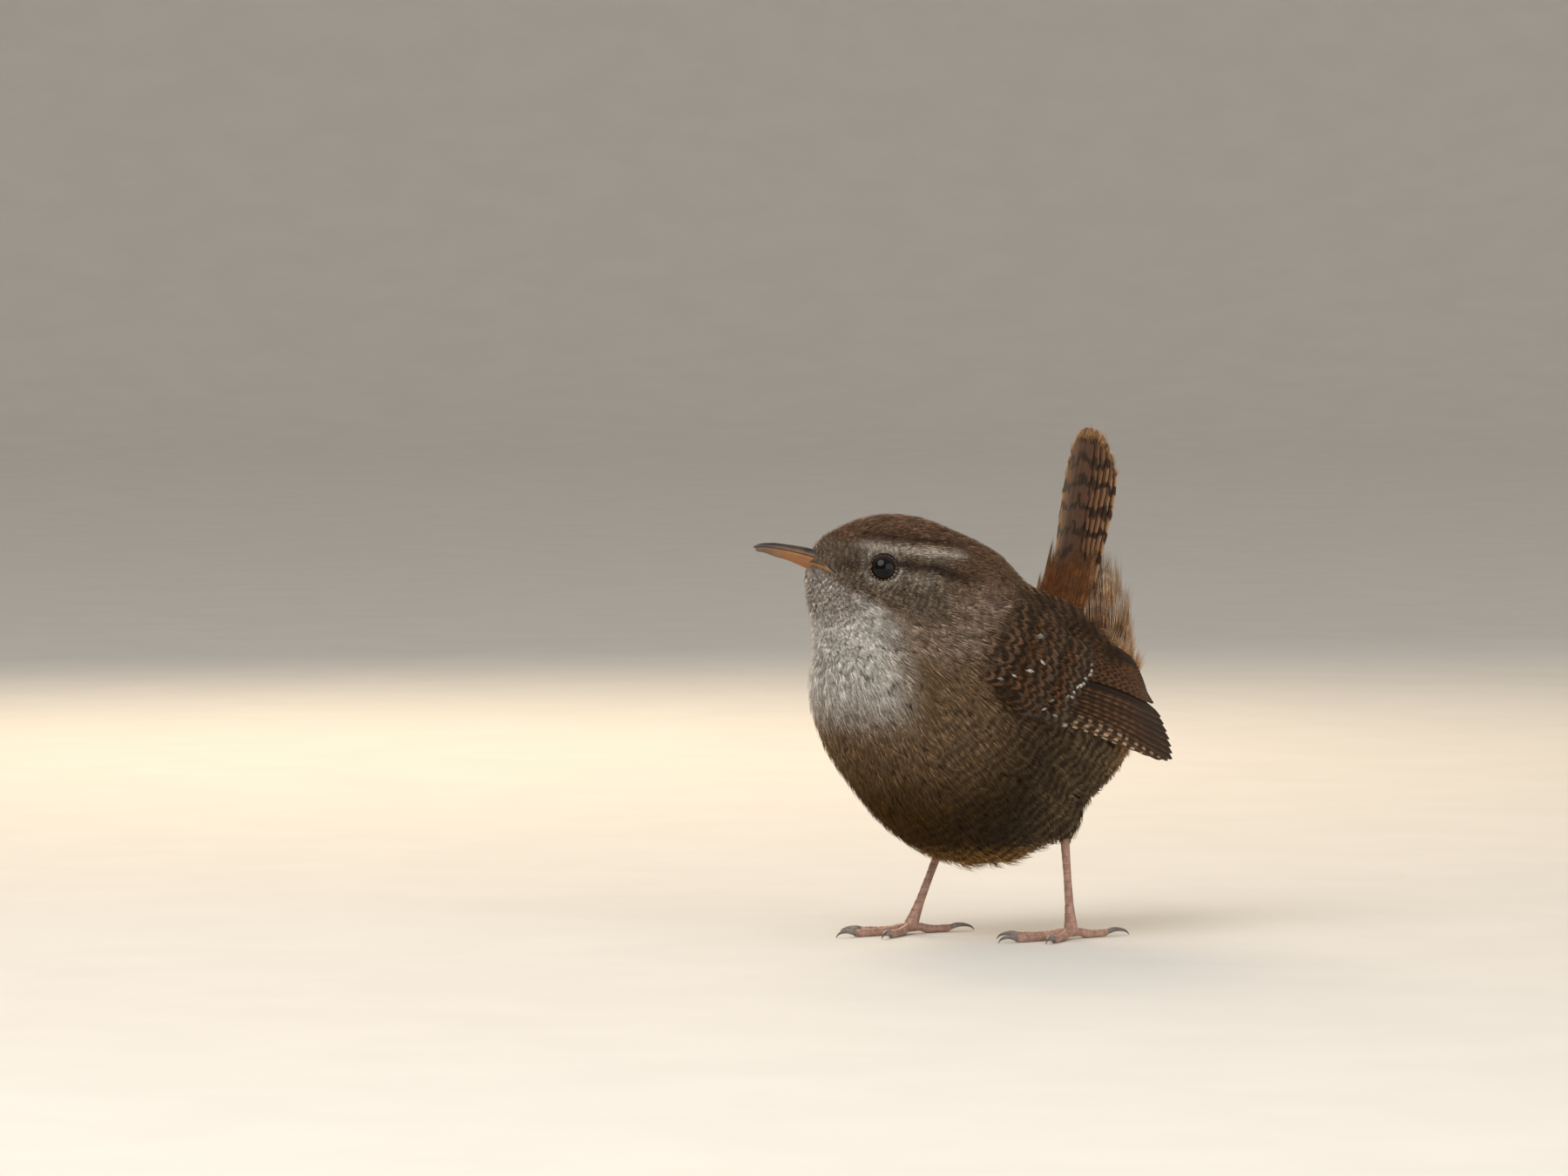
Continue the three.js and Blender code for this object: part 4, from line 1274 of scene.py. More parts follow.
def wing_fans(colours, side, rng):
    """The soft coverts and scapulars that cover the roots of the flight feathers."""
    warm, dark, mantle, pale, buff = tones(colours, "covert", "flight", "mantle", "pearl", "flight_bar")
    base = {"dome": 0.25, "loose": 0.1, "tint": warm, "tip_tint": 0.4 * pale + 0.6 * buff, "tip_share": 0.0}
    row = row_maker(base | {"bar_tint": 0.5 * dark, "bars": 0.9, "spacing": 1.7})
    greater, median, lesser = ({"tip_share": share} for share in (0.3, 0.25, 0.15))
    alula = {"tint": 0.5 * dark + 0.5 * warm, "tip_share": 0.25}
    shoulder = {"tint": 0.5 * warm + 0.5 * mantle}
    back = {"tint": mantle, "bars": 0.6}
    lining = {"tint": 0.8 * mantle, "bars": 0.3}
    # Each row: count, root and tip of its first and of its last feather, half width, first and last lift
    # of the roots and of the tips
    rows = [
        # Greater coverts and the alula
        row(12, (7.5, -2.6), (16.6, -2.4), (7, 10.4), (19.4, 12.6), 1.3, (0.5, 1.0), (0.95, 1.5), **greater),
        row(4, (1.5, -3.4), (11.5, -4.0), (2.5, -2.0), (14.5, -2.9), 1.0, (-0.3, 0.2), (0.9, 1.2), **alula),
        # Tertials
        row(5, (9, 11.2), (27.5, 14.6), (7, 13.4), (19, 16.8), 1.9, (0.6, 0.6), (1.35, 1.45)),
        # Median and lesser coverts, up to the wrist
        row(11, (3.5, -2.4), (11.5, -2.6), (3, 10.2), (13.5, 12.6), 1.4, (0.0, 0.4), (1.1, 1.7), **median),
        row(10, (0.8, -1.8), (8, -2.2), (0.8, 9.8), (10, 12), 1.4, (-0.9, -0.4), (0.8, 1.4), **lesser),
        row(9, (-1.8, -1.2), (4.8, -1.6), (-1.8, 9.4), (7, 11.6), 1.5, (-1.5, -1.1), (0.4, 1.1), **shoulder),
        row(8, (-4.8, 0.0), (1.6, -0.8), (-4.5, 8.6), (3, 10.6), 1.6, (-1.9, -1.7), (0.0, 0.6), **back),
        # Scapulars
        row(8, (1, 12.0), (12.5, 13.4), (4, 15.2), (16, 17.0), 1.9, (-0.4, -0.2), (1.6, 1.9), **shoulder),
        row(7, (-3, 11.4), (7, 13.0), (0, 14.6), (11, 15.8), 1.9, (-1.2, -1.0), (0.9, 1.2), **shoulder),
        row(6, (-6, 10.2), (3, 12.2), (-4, 13.6), (5, 15.0), 2.0, (-2.0, -2.0), (0.4, 0.6), **back),
        # The lining, down to the back under the tertials
        row(6, (8, 14.4), (17, 17.0), (19, 10.5), (30, 12.8), 2.2, (-0.7, -0.7), (-0.3, -0.3), **lining),
        row(6, (8, 14.2), (18, 16.4), (18, 9.5), (29, 11.8), 2.4, (-1.8, -1.8), (-1.3, -1.3), **lining),
        row(5, (10, 13.2), (18, 15.6), (18, 8.5), (28, 10.6), 2.4, (-2.9, -2.9), (-2.4, -2.4), **lining),
        row(5, (11, 12.6), (19, 15.0), (19, 7.0), (29, 9.0), 2.6, (-4.2, -4.2), (-3.7, -3.7), **lining),
    ]
    return feather_rows(rows, side, rng)


# Each pale mark: how far along and across, length, turn in degrees, half width and paleness
PEARLS = (
    (4.2, 0.5, 1.1, -20, 0.24, 0.8),
    (6.1, 2.5, 1.5, 25, 0.3, 0.85),
    (8.0, 4.9, 1.6, -35, 0.26, 0.9),
    (6.4, 8.9, 2.0, 30, 0.5, 0.4),
    (9.9, 12.3, 1.8, -45, 0.3, 0.6),
    (11.5, -0.4, 1.4, 30, 0.22, 0.5),
    (10.8, -2.1, 1.3, 60, 0.2, 0.55),
    (13.2, -2.0, 1.4, 20, 0.26, 0.6),
    (15.6, -2.6, 1.2, 45, 0.28, 0.65),
    (2.4, -1.4, 1.2, 0, 0.26, 0.35),
    (17.4, 9.6, 1.2, 70, 0.22, 0.6),
    (17.3, 8.6, 1.3, 75, 0.26, 0.8),
    (17.0, 7.6, 1.3, 70, 0.26, 0.75),
    (16.6, 6.7, 1.3, 62, 0.32, 0.85),
    (16.3, 5.8, 1.2, 65, 0.28, 0.8),
    (15.9, 5.0, 1.2, 55, 0.32, 0.85),
    (15.6, 4.2, 1.1, 60, 0.28, 0.7),
    (15.1, 3.4, 1.2, 50, 0.32, 0.8),
    (14.8, 2.6, 1.1, 45, 0.26, 0.6),
    (14.2, 1.9, 1.0, 35, 0.24, 0.5),
)
PEARL_BARBS = 10


def wing_pearls(colours, side, rng):
    """Small whitish tips here and there on the coverts."""
    (pale,) = tones(colours, "pearl")
    base = {"dome": 0.12, "loose": 0.0, "tip_share": 0.8, "bar_tint": pale, "bars": 0.0, "spacing": 2.0}
    rows = []
    for along, across, long, turn, half, share in PEARLS:
        reach = long * np.array([math.cos(math.radians(turn)), math.sin(math.radians(turn))]) / 2
        middle = np.array([along, across])
        lift = 1.15 + 0.03 * across - 0.5 * smooth(10, 12, across) - 0.9 * smooth(8.5, 2, along)
        place = {"root": middle - reach, "tip": middle + reach, "half": half}
        look = {"tint": 0.75 * share * pale, "tip_tint": share * pale}
        rows.append((1, base | place | look | {"lift": lift - 0.1, "tip_lift": lift + 0.2}, {}))
    return feather_rows(rows, side, rng)


def make_wings(settings, colours):
    """Both folded wings: stiff flight feathers, soft coverts and pale tips, over a dark bed that is painted
    shade under the wing.
    """
    grid = sided_grid()
    vanes = vane_material("flight_vane", 0.4, 0.8, gap=0.25)
    coverts = feather_material("covert", 0.5, 0.9, roughness=0.66, gap=-0.15)
    # Near-black browns for the bed: painted shade of the gap between the wing and the body
    down = down_material("wing_down", 0x1D140E, 0x3A2B20)
    width = settings.wing_barb_width / MM
    for name, side in SIDES.items():
        rng = np.random.default_rng(31)
        place = wing_surface(side, grid)
        flight = wing_vanes(place, colours, rng)
        vane_piece(f"wing_{name}_vanes", flight, rng, vanes, [f"wing_{name}"])
        for part, laid, barbs in (
            ("coverts", wing_fans, settings.wing_barbs),
            ("tips", wing_pearls, PEARL_BARBS),
        ):
            fans = laid(colours, side, rng)
            fan_piece(f"wing_{name}_{part}", place, fans, barbs, width, rng, coverts)
        wing_bed(f"wing_{name}_bed", place, down)


# Rings of the wing's bed: their share of its size, lift, and whether they lie on the body
BED_RINGS = ((0.5, 0.1, True), (0.96, 0.1, True), (1.0, -0.8, False), (0.6, -0.3, False), (0.2, 0.0, False))
BED_MIDDLE = (11, 4.8)
BED_REACH = (10, 7.6)


def wing_bed(name, place, material):
    """The lens of flesh and down between the body and the wing feathers; its near-black browns are painted
    shade of the gap under the wing.
    """
    ob = column(name, 36, len(BED_RINGS) - 2)
    corner = corners_of(ob)
    level = np.rint((corner[:, 2] + 0.5) * (len(BED_RINGS) - 1)).astype(int)
    points = np.empty_like(corner)
    for k, (share, lift, on_body) in enumerate(BED_RINGS):
        here = level == k
        along, across = (BED_MIDDLE[i] + share * BED_REACH[i] * corner[here, i] for i in range(2))
        points[here] = place(along, across, np.full(here.sum(), lift), on_body)
    move_points(ob, points)
    faces_out(ob)
    return dressed(ob, material)


# The cocked tail: along runs up to the tip, across is level, and lift is towards the back

TAIL_ROOT = np.array([11.9, 0.0, 44.0])
TAIL_LENGTH = 41
TAIL_ROOF = 0.6
TAIL_RANKS = 6
RANK_STEP = 0.24  # each pair of tail feathers lies this much under the one further in
COVER_RADIUS = 6


def tail_surface(along, across, lift):
    fall = TAIL_ROOF * (across / 8) ** 2
    points = TAIL_ROOT + along[:, None] * UP_TAIL + (lift - fall)[:, None] * OFF_TAIL
    points[:, 1] = across
    return points


def cover_surface(along, around, lift):
    """Round the tail's root: it widens downwards into the rump, most of all on the vent's side."""
    turn = around / COVER_RADIUS
    flare = np.clip((23 - along) / 20, 0, 1)
    off = np.cos(turn)
    depth = lift + np.where(off > 0, 2.2 + 3.2 * flare, 5 + 7.6 * flare)
    points = TAIL_ROOT + along[:, None] * UP_TAIL + (off * depth - 1)[:, None] * OFF_TAIL
    points[:, 1] = np.sin(turn) * (6.2 + 0.9 * flare + 0.6 * lift)
    return points


def tail_tip(rank, side):
    """Along and across at the tip of a tail feather; rank 0 is the middle pair."""
    angle = math.radians(1 + 2.1 * rank)
    long = TAIL_LENGTH - 0.22 * rank**2
    return long * math.cos(angle), side * long * math.sin(angle)


# Tiers of coverts round the tail: count, root and tip along the tail, half width, lift of root and tip
COVER_TIERS = (
    (22, 4, 22.0, 2.0, -0.8, 0.2),
    (20, 2, 16.5, 2.1, -0.3, 0.8),
    (18, 0, 10.5, 2.3, 0.2, 1.5),
    (14, -2, 6, 2.3, 0.2, 1.7),
    (20, 5, 19.5, 2.0, -1.5, -1.0),
    (20, 5, 20.5, 2.2, -2.9, -2.2),
    (18, 6, 19.0, 2.2, -4.9, -4.0),
    (14, 6, 17.0, 2.0, -6.6, -5.8),
)
VENT_ONLY = -2  # tiers that lie deeper than this have room on the vent's side only


def tail_covers(colours, rng):
    """Coverts all round the root of the tail: rufous above, golden and white tipped on the vent."""
    rufous, golden, dark, pale = tones(colours, "rump", "vent", "flight", "pearl")
    turn = 2 * math.pi * COVER_RADIUS
    made = []
    for count, root, tip, half, lift, tip_lift in COVER_TIERS:
        for i in range(count):
            around = (i + rng.uniform(-0.3, 0.3)) / count * turn
            backward = math.cos(around / COVER_RADIUS)
            if lift < VENT_ONLY and backward > 0:
                continue
            vent = smooth(0.1, -0.8, backward)
            white = vent * (rng.random() < 0.65)
            tint = mixed(rufous, golden, vent * rng.uniform(0.5, 1.0))
            reach = tip * rng.uniform(0.88 - 0.12 * vent, 1.08)
            feather = {
                "root": (root, around),
                "tip": (reach, around + rng.normal(0, 0.5 + 1.1 * vent)),
                "half": half,
                "lift": lift,
                "tip_lift": tip_lift + 1.8 * vent * rng.random() ** 1.5,
                "dome": 0.25,
                "loose": 0.15 + 1.5 * vent,
                "tint": tint,
                "tip_tint": pale,
                "tip_share": 0.8 * white,
                "bar_tint": 0.5 * dark,
                "bars": 0.3 - 0.1 * vent,
                "spacing": 2.6,
            }
            made.append((1, feather, {}))
    return feather_rows(made, 1, rng)


def tail_tufts(colours, rng):
    """Loose barbs that fray the tips of the tail feathers."""
    warm, pale = tones(colours, "rectrix", "vent")
    look = {"dome": 0.1, "loose": 0.15, "tint": 0.7 * warm + 0.3 * pale, "tip_tint": pale}
    look |= {"tip_share": 0.6, "bar_tint": 0.5 * warm, "bars": 0.2, "spacing": 4.0}
    made = []
    for rank in range(TAIL_RANKS):
        for side in (LEFT, RIGHT):
            along, across = tail_tip(rank, side)
            place = {"root": (along - 3.6, across * 0.93), "tip": (along + 0.7, across * 1.01), "half": 2.1}
            lift = -RANK_STEP * rank
            made.append((1, look | place | {"lift": lift, "tip_lift": lift}, {}))
    return feather_rows(made, 1, rng)


def tail_vanes(colours, rng):
    """The twelve tail feathers, from the middle pair outwards."""
    warm, dark, pale = tones(colours, "rectrix", "rectrix_bar", "vent")
    grey = np.array(srgb(0x4E3E36))

    def bars(share, side):
        return smooth(0.1, 0.3, share) * 0.95

    feathers = []
    for rank in range(TAIL_RANKS):
        for side in (LEFT, RIGHT):
            root, tip = (4, side * (0.3 + 0.6 * rank)), tail_tip(rank, side)
            lift = -RANK_STEP * rank
            made = vane(tail_surface, rng, root, tip, 2.9, lift, tilt=-0.1 * side, bow=-0.3 * side)
            tint = mixed(warm, grey, rng.uniform(0, 0.6)) * rng.uniform(0.8, 1.1)
            feather = {"made": made, "tint": tint, "edge": mixed(1.15 * warm, pale, 0.12 * rank)}
            feather |= {"bar_tint": dark, "bars": bars, "outer": side, "depth": 0.0, "spacing": 3.9}
            feathers.append(feather | {"shift": 0.3 + 0.07 * rng.normal()})
    return feathers


CORE_LINE = ((-5, -3), (3, -1.2), (8, -2.2), (12, -4.6))  # along the tail, and lift
TUFT_BARBS = 44


def tail_core():
    """The root of the tail inside its coverts."""
    core = column("tail_core", 36, 12)
    corner = corners_of(core)
    share = (corner[:, 2] + 0.5) * (len(CORE_LINE) - 1)
    along, lift = (np.interp(share, range(len(CORE_LINE)), values) for values in zip(*CORE_LINE))
    inner = np.hypot(corner[:, 0], corner[:, 1]) < 0.5
    ring = cover_surface(along, np.arctan2(corner[:, 1], corner[:, 0]) * COVER_RADIUS, lift)
    axis = TAIL_ROOT + along[:, None] * UP_TAIL - 1.5 * OFF_TAIL
    move_points(core, np.where(inner[:, None], axis, ring))
    faces_out(core)
    return core


def make_tail(settings, colours):
    """Twelve barred tail feathers, their frayed tips, and the coverts round their root."""
    rng = np.random.default_rng(53)
    vanes = vane_material("tail_vane", 0.5, 1.3, gap=0.35)
    covers = feather_material("tail_covert", 0.5, 0.5)
    vane_piece("tail_vanes", tail_vanes(colours, rng), rng, vanes, ["tail"])
    width = settings.wing_barb_width / MM
    coverts = tail_covers(colours, rng)
    fan_piece("tail_coverts", cover_surface, coverts, settings.tail_barbs, width, rng, covers)
    tufts = tail_tufts(colours, rng)
    fan_piece("tail_fray", tail_surface, tufts, TUFT_BARBS, 0.75 * width, rng, covers)
    core = tail_core()
    dressed(core, down_material("tail_down", 0x2A1B10, 0x4E3118))


# The bill, in the head's frame: (ahead, culmen, mouth line, gonys, half width)

CULMEN, MOUTH, GONYS = 1, 2, 3
NOSTRIL = (16, 4.0)  # ahead and up
BILL_STATIONS = np.array(
    [
        (10, 3.2, 0.6, -1.7, 2.5),
        (14.5, 4.0, 2.6, 0.3, 1.9),
        (17, 4.6, 3.4, 1.5, 1.45),
        (19.5, 5.0, 4.0, 2.6, 1.05),
        (21.5, 5.25, 4.4, 3.2, 0.75),
        (23.4, 5.25, 4.65, 3.9, 0.45),
        (24.5, 5.05, 4.6, 4.1, 0.28),
        (BILL_TIP, 4.75, 4.5, 4.2, BILL_TIP_HALF),
    ]
)
LOWER_BILL_TIP = (24.9, 4.8, 4.5, 4.3, 0.1)
LOWER_BILL_KEEL = 0.25
MOUTH_GAP = 0.08
GAPE = np.array(
    [(15.6, 2.3, 0.62), (14.2, 1.6, 0.7), (12.9, 0.85, 0.54), (11.4, 0.0, 0.34), (9.7, -0.9, 0.08)]
)


def nostril(ahead, up, long, tall):
    """1 in the slit of the nostril, fading out over its half length and half height."""
    off = ahead - NOSTRIL[0]
    return np.exp(-((off / long) ** 2 + ((up - NOSTRIL[1] - 0.1 * off) / tall) ** 2))


def bill_half(name, upper):
    """One half of the bill: a column laid along the head, flat at the mouth and round outside."""
    ob = column(name, 40, 46)
    corner = corners_of(ob)
    stations = BILL_STATIONS if upper else np.vstack([BILL_STATIONS[:-1], LOWER_BILL_TIP])
    ahead, culmen, mouth, gonys, half = smooth_line(stations, corner[:, 2] + 0.5).T
    round_share = corner[:, 1]
    if upper:
        tall = np.where(round_share > 0, culmen - mouth, 0.12)
        up = mouth + MOUTH_GAP + round_share * tall
        left = corner[:, 0] * half * (1 - 0.18 * np.maximum(round_share, 0) ** 2)
        left = left * (1 - 0.3 * nostril(ahead, up, 0.75, 0.2) * (np.abs(left) > 0.5))
    else:
        tall = np.where(round_share < 0, mouth - MOUTH_GAP - gonys + LOWER_BILL_KEEL, 0.08)
        up = mouth - MOUTH_GAP + round_share * tall
        left = corner[:, 0] * half * (0.94 - 0.1 * np.maximum(-round_share, 0))
    move_points(ob, from_head(np.stack([ahead, left, up], 1)))
    faces_out(ob)
    return ob


def horn_material(name, base, edge, dark_and_shade, gloss):
    """Bill and claw horn: mottled along its length, with fine growth lines."""
    graph = Graph(name, Roughness=gloss, Specular_IOR_Level=0.5, Coat_Weight=0.15, Coat_Roughness=0.25)
    cloud = graph.ramp(graph.noise(700, 4.0), 0.35, 0.68)
    tone = graph.mix(cloud, rgba(base), rgba(edge))
    # The shade attribute mixes in the dark colour: real dark horn on the bill's top and tip and on the
    # claws' tips, and painted shade in the nostril, along the tomium and in the mouth line
    graph.colour(graph.mix(graph.attribute("shade", "Fac"), tone, rgba(dark_and_shade)))
    graph.bump(graph.noise(2200, 3.0), 0.2, 0.00006)
    graph.link(graph.ramp(graph.noise(1500, 2.0), 0.3, 0.7, gloss - 0.06, gloss + 0.12), "Roughness")
    return graph.material


def bill_line(ahead, *columns):
    """Heights of the bill's lines this far ahead."""
    return (np.interp(ahead, BILL_STATIONS[:, 0], BILL_STATIONS[:, k]) for k in columns)


def make_bill(colours):
    """Upper and lower bill and the soft corner of the mouth."""
    upper = bill_half("bill_top", True)
    ahead, _, up = in_head(points_of(upper)).T
    culmen, mouth = bill_line(ahead, CULMEN, MOUTH)
    dark = 0.85 * smooth(0.3, 0.75, (up - mouth) / (culmen - mouth)) + 0.5 * smooth(20, 25, ahead)
    # The nostril's slit is painted dark, as the shade in its hollow
    paint(upper, {"shade": np.clip(dark + nostril(ahead, up, 0.8, 0.25), 0, 1)})
    horn = horn_material("bill_horn", colours.horn[:3], colours.horn_edge[:3], srgb(0x15100D), 0.34)
    dressed(upper, horn, ["bill_upper"])
    lower = bill_half("bill_under", False)
    ahead, _, up = in_head(points_of(lower)).T
    mouth, gonys = bill_line(ahead, MOUTH, GONYS)
    # Painted shadow: a dark streak along the lower bill, under the cutting edge of the upper one
    painted_tomium_shadow = ridge((up - gonys) / (mouth - gonys), 0.66, 0.1) * smooth(21, 17, ahead)
    paint(lower, {"shade": np.clip(0.75 * smooth(18.5, 24, ahead) + 0.4 * painted_tomium_shadow, 0, 1)})
    pale = horn_material("bill_pale", colours.mandible[:3], colours.gape[:3], colours.horn[:3], 0.38)
    dressed(lower, pale, ["bill_lower"])
    for name, side in (("left", 1), ("right", -1)):
        gape(name, side, colours)


def gape(name, side, colours):
    """The soft corner of the mouth, along the side of the face; side is 1 on the left."""
    ahead, up, thick = GAPE.T
    start = from_head(np.stack([ahead, side * np.full(len(GAPE), 4.0), up], 1))
    line = settled(start, -0.85 * thick, rounds=6, thighs=False)
    line[0] = from_head((15.6, 0.85 * side, 2.1))
    lip = limb(f"gape_{name}", line, thick, 24, 40)
    ahead, _, up = in_head(points_of(lip)).T
    along = in_head(line)[::-1]
    mouth, half = (np.interp(ahead, along[:, 0], values) for values in (along[:, 2], thick[::-1]))
    height = (up - mouth) / half
    dull = 0.15 + 0.55 * smooth(14, 11, ahead)
    over = (0.45 + 0.55 * smooth(14.6, 12.5, ahead)) * smooth(0.3, 0.5, height)
    # Painted shade: the ridge is a dark line along the crease of the mouth; above it the gape takes the
    # feathers' dark brown, duller towards the corner
    paint(lip, {"shade": np.clip(ridge(height, 0.22, 0.2) + over + dull, 0, 1)})
    cloud = 0.8 * np.array(colours.mandible[:3])
    skin = horn_material(f"gape_skin_{name}", colours.gape[:3], cloud, srgb(0x241912), 0.5)
    dressed(lip, skin)


# Eyes and lids

EYE_RINGS = 32
EYE_BULGE = 0.03
LID_BEADS = 22
LID_THICK = 2.3
LID_RADIUS = 2.16
LID_OUT = 1.42  # from the eye's middle to the ring


def eye_axis(name):
    """Middle and outward direction of an eye, and its radius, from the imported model."""
    low, high = (np.array(corner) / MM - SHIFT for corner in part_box(f"eye_{name}"))
    side = 1 if name == "left" else -1
    facing = unit(from_head((0.25, side * 0.95, 0.1)) - HEAD_PIVOT)
    return (low + high) / 2, facing, (high - low).max() / 2


def make_eyes(colours):
    """Glossy dark eyes in beaded lids."""
    glass = Graph("eye_glass", Roughness=0.04, Specular_IOR_Level=0.2)
    iris = glass.ramp(glass.attribute("facing", "Fac"), 0.80, 0.86)
    glass.colour(glass.mix(iris, rgba(colours.iris[:3]), rgba(colours.pupil[:3])))
    skin = Graph("lid_skin", Roughness=0.6, Specular_IOR_Level=0.3)
    skin.colour(skin.mix(skin.attribute("bead", "Fac"), rgba(srgb(0x1A1411)), rgba(colours.lid_bead[:3])))
    skin.bump(skin.noise(4000), 0.3, 0.00005)
    for name in SIDES:
        middle, facing, radius = eye_axis(name)
        dressed(eyeball(name, middle, facing, radius), glass.material, [f"eye_{name}"])
        dressed(lid(name, middle, facing), skin.material)


def eyeball(name, middle, facing, radius):
    """A ball that stands out a little more where it faces."""
    nothing_selected()
    place = Vector((middle + SHIFT) * MM)
    bpy.ops.mesh.primitive_uv_sphere_add(
        segments=64, ring_count=EYE_RINGS, radius=radius * MM, location=place
    )
    ball = just_added(f"eyeball_{name}")
    bpy.ops.object.transform_apply(location=True, rotation=True, scale=True)
    off = points_of(ball) - middle
    front = unit(off) @ facing
    move_points(ball, middle + off * (1 + EYE_BULGE * front.clip(0, 1) ** 6)[:, None])
    paint(ball, {"facing": front})
    faces_out(ball)
    return ball


def lid(name, middle, facing):
    """The ring of beads round an eye, brightest on its lower half."""
    nothing_selected()
    bpy.ops.mesh.primitive_torus_add(major_segments=88, minor_segments=12, major_radius=1, minor_radius=0.1)
    ring = just_added(f"lid_{name}")
    corner = corners_of(ring)
    across = unit(np.cross(facing, np.array([0.0, 0.0, 1.0])))
    above = np.cross(across, facing)
    angle = np.arctan2(corner[:, 1], corner[:, 0])
    off_ring = np.hypot(corner[:, 0], corner[:, 1]) - 1
    bead = 0.5 + 0.5 * np.cos(LID_BEADS * angle)
    thick = LID_THICK * (1 + 0.25 * bead)
    wide = LID_RADIUS * (1 - 0.05 * np.sin(angle) ** 2) + off_ring * thick
    height = LID_OUT + corner[:, 2] * thick
    points = middle + facing * height[:, None] + across * (wide * np.cos(angle))[:, None]
    points = points + above * (wide * 0.94 * np.sin(angle))[:, None]
    move_points(ring, points)
    paint(ring, {"bead": bead**3 * (0.12 + 0.88 * smooth(0.1, -0.5, np.sin(angle)))})
    faces_out(ring)
    return ring


# Legs, feet and claws

TOES = {
    "inner": {"turn": 34, "long": 8.4, "claw": 3.6},
    "middle": {"turn": 2, "long": 11.4, "claw": 3.8},
    "outer": {"turn": -30, "long": 8.8, "claw": 3.6},
    "hind": {"turn": 184, "long": 7.6, "claw": 5.0},
}
# Share of the length, and radius
SHANK_STATIONS = ((0.0, 1.2), (0.07, 1.05), (0.2, 0.74), (0.5, 0.64), (0.85, 0.74), (1.0, 1.05))
TOE_STATIONS = (  # share of the length, height, radius
    (0, 1.2, 0.85),
    (0.25, 1.05, 0.66),
    (0.45, 0.66, 0.76),
    (0.68, 0.62, 0.62),
    (0.84, 0.58, 0.72),
    (1, 0.7, 0.55),
)
KNUCKLE = ((0, 0, 2.6), (0, 0, 1.9), (0, 0, 1.2), (0, 0, 0.65))
KNUCKLE_RADII = (0.8, 1.15, 1.3, 0.85)
SHANK_PLATE = 1.35  # length of a plate
TOE_PLATE = 0.95
PLATE_FRONT = math.pi / 2
CLAW_ROOT = (0.97, 0.68)  # share of the toe, and height
CLAW_LINE = ((0.2, 0.98), (0.5, 1.06), (0.82, 0.76), (1.0, 0.14))  # share of the claw, and height
CLAW_RADII = (0.5, 0.47, 0.34, 0.2, 0.05)
CLAW_CLEAR = 0.02  # above the floor


def scaled(step, long):
    """Overlapping plates along the front of a limb, each thinner at its upper edge."""

    def swell(share, angle):
        plate = (share * long / step) % 1.0
        facing = smooth(-0.3, 0.5, np.cos(angle - PLATE_FRONT))
        return 1 + 0.075 * facing * (plate**2 - 0.35)

    return swell


def leg_material(colours):
    """Skin of shanks and toes, with dark seams between the plates."""
    wax = {"Coat_Weight": 0.1, "Coat_Roughness": 0.3}
    flesh = {"Subsurface_Weight": 0.12, "Subsurface_Radius": (0.9, 0.35, 0.2), "Subsurface_Scale": 0.0006}
    graph = Graph("leg_scales", Roughness=0.46, Specular_IOR_Level=0.42, **wax, **flesh)
    cloud = graph.ramp(graph.noise(900, 4.0), 0.35, 0.7)
    tone = graph.mix(cloud, rgba(colours.leg[:3]), rgba(colours.leg_dark[:3]))
    graph.colour(graph.mix(graph.attribute("seam", "Fac"), tone, rgba(colours.leg_seam[:3])))
    cell = graph.add("ShaderNodeTexVoronoi", {"Vector": graph.place(), "Scale": 2600.0})
    graph.bump(cell, 0.35, 0.00005)
    return graph.material


def seam_of(share, long, step):
    plate = (share * long / step) % 1.0
    return smooth(0.16, 0.0, plate) * 0.75


def make_legs(colours):
    """Scaled shanks and toes."""
    material = leg_material(colours)
    for name, leg in LEGS.items():
        dressed(shank(name, leg), material, [f"leg_{name}"])
        foot = leg["foot"]
        parts = [toe_piece(toe, toe_line(leg, SIDES[name], TOES[toe]), foot) for toe in TOES]
        knuckle = np.array(KNUCKLE) + (foot[0], foot[1], 0)
        ball = limb("ball_of_foot", knuckle, KNUCKLE_RADII, 24, 20, top=(-1, 0, 0))
        paint(ball, {"seam": np.zeros(len(kept_above(ball)))})
        dressed(joined(f"toes_{name}", parts + [ball]), material, [f"foot_{name}"])


def shank(name, leg):
    """The bare leg from the foot to the ankle."""
    foot, ankle = np.array(leg["foot"], float), ankle_of(leg)
    shares = np.array([share for share, _ in SHANK_STATIONS])
    line = foot + (ankle - foot) * shares[:, None]
    even = np.linspace(0, 1, 9)
    line = np.stack([np.interp(even, shares, line[:, k]) for k in range(3)], 1)
    radii = np.interp(even, shares, [radius for _, radius in SHANK_STATIONS])
    part = limb(f"shank_{name}", line, radii, 24, 130, scaled(SHANK_PLATE, TARSUS_LENGTH), top=(-1, 0, 0))
    share = (points_of(part)[:, 2] - foot[2]) / (ankle[2] - foot[2])
    paint(part, {"seam": seam_of(share, TARSUS_LENGTH, SHANK_PLATE)})
    return part


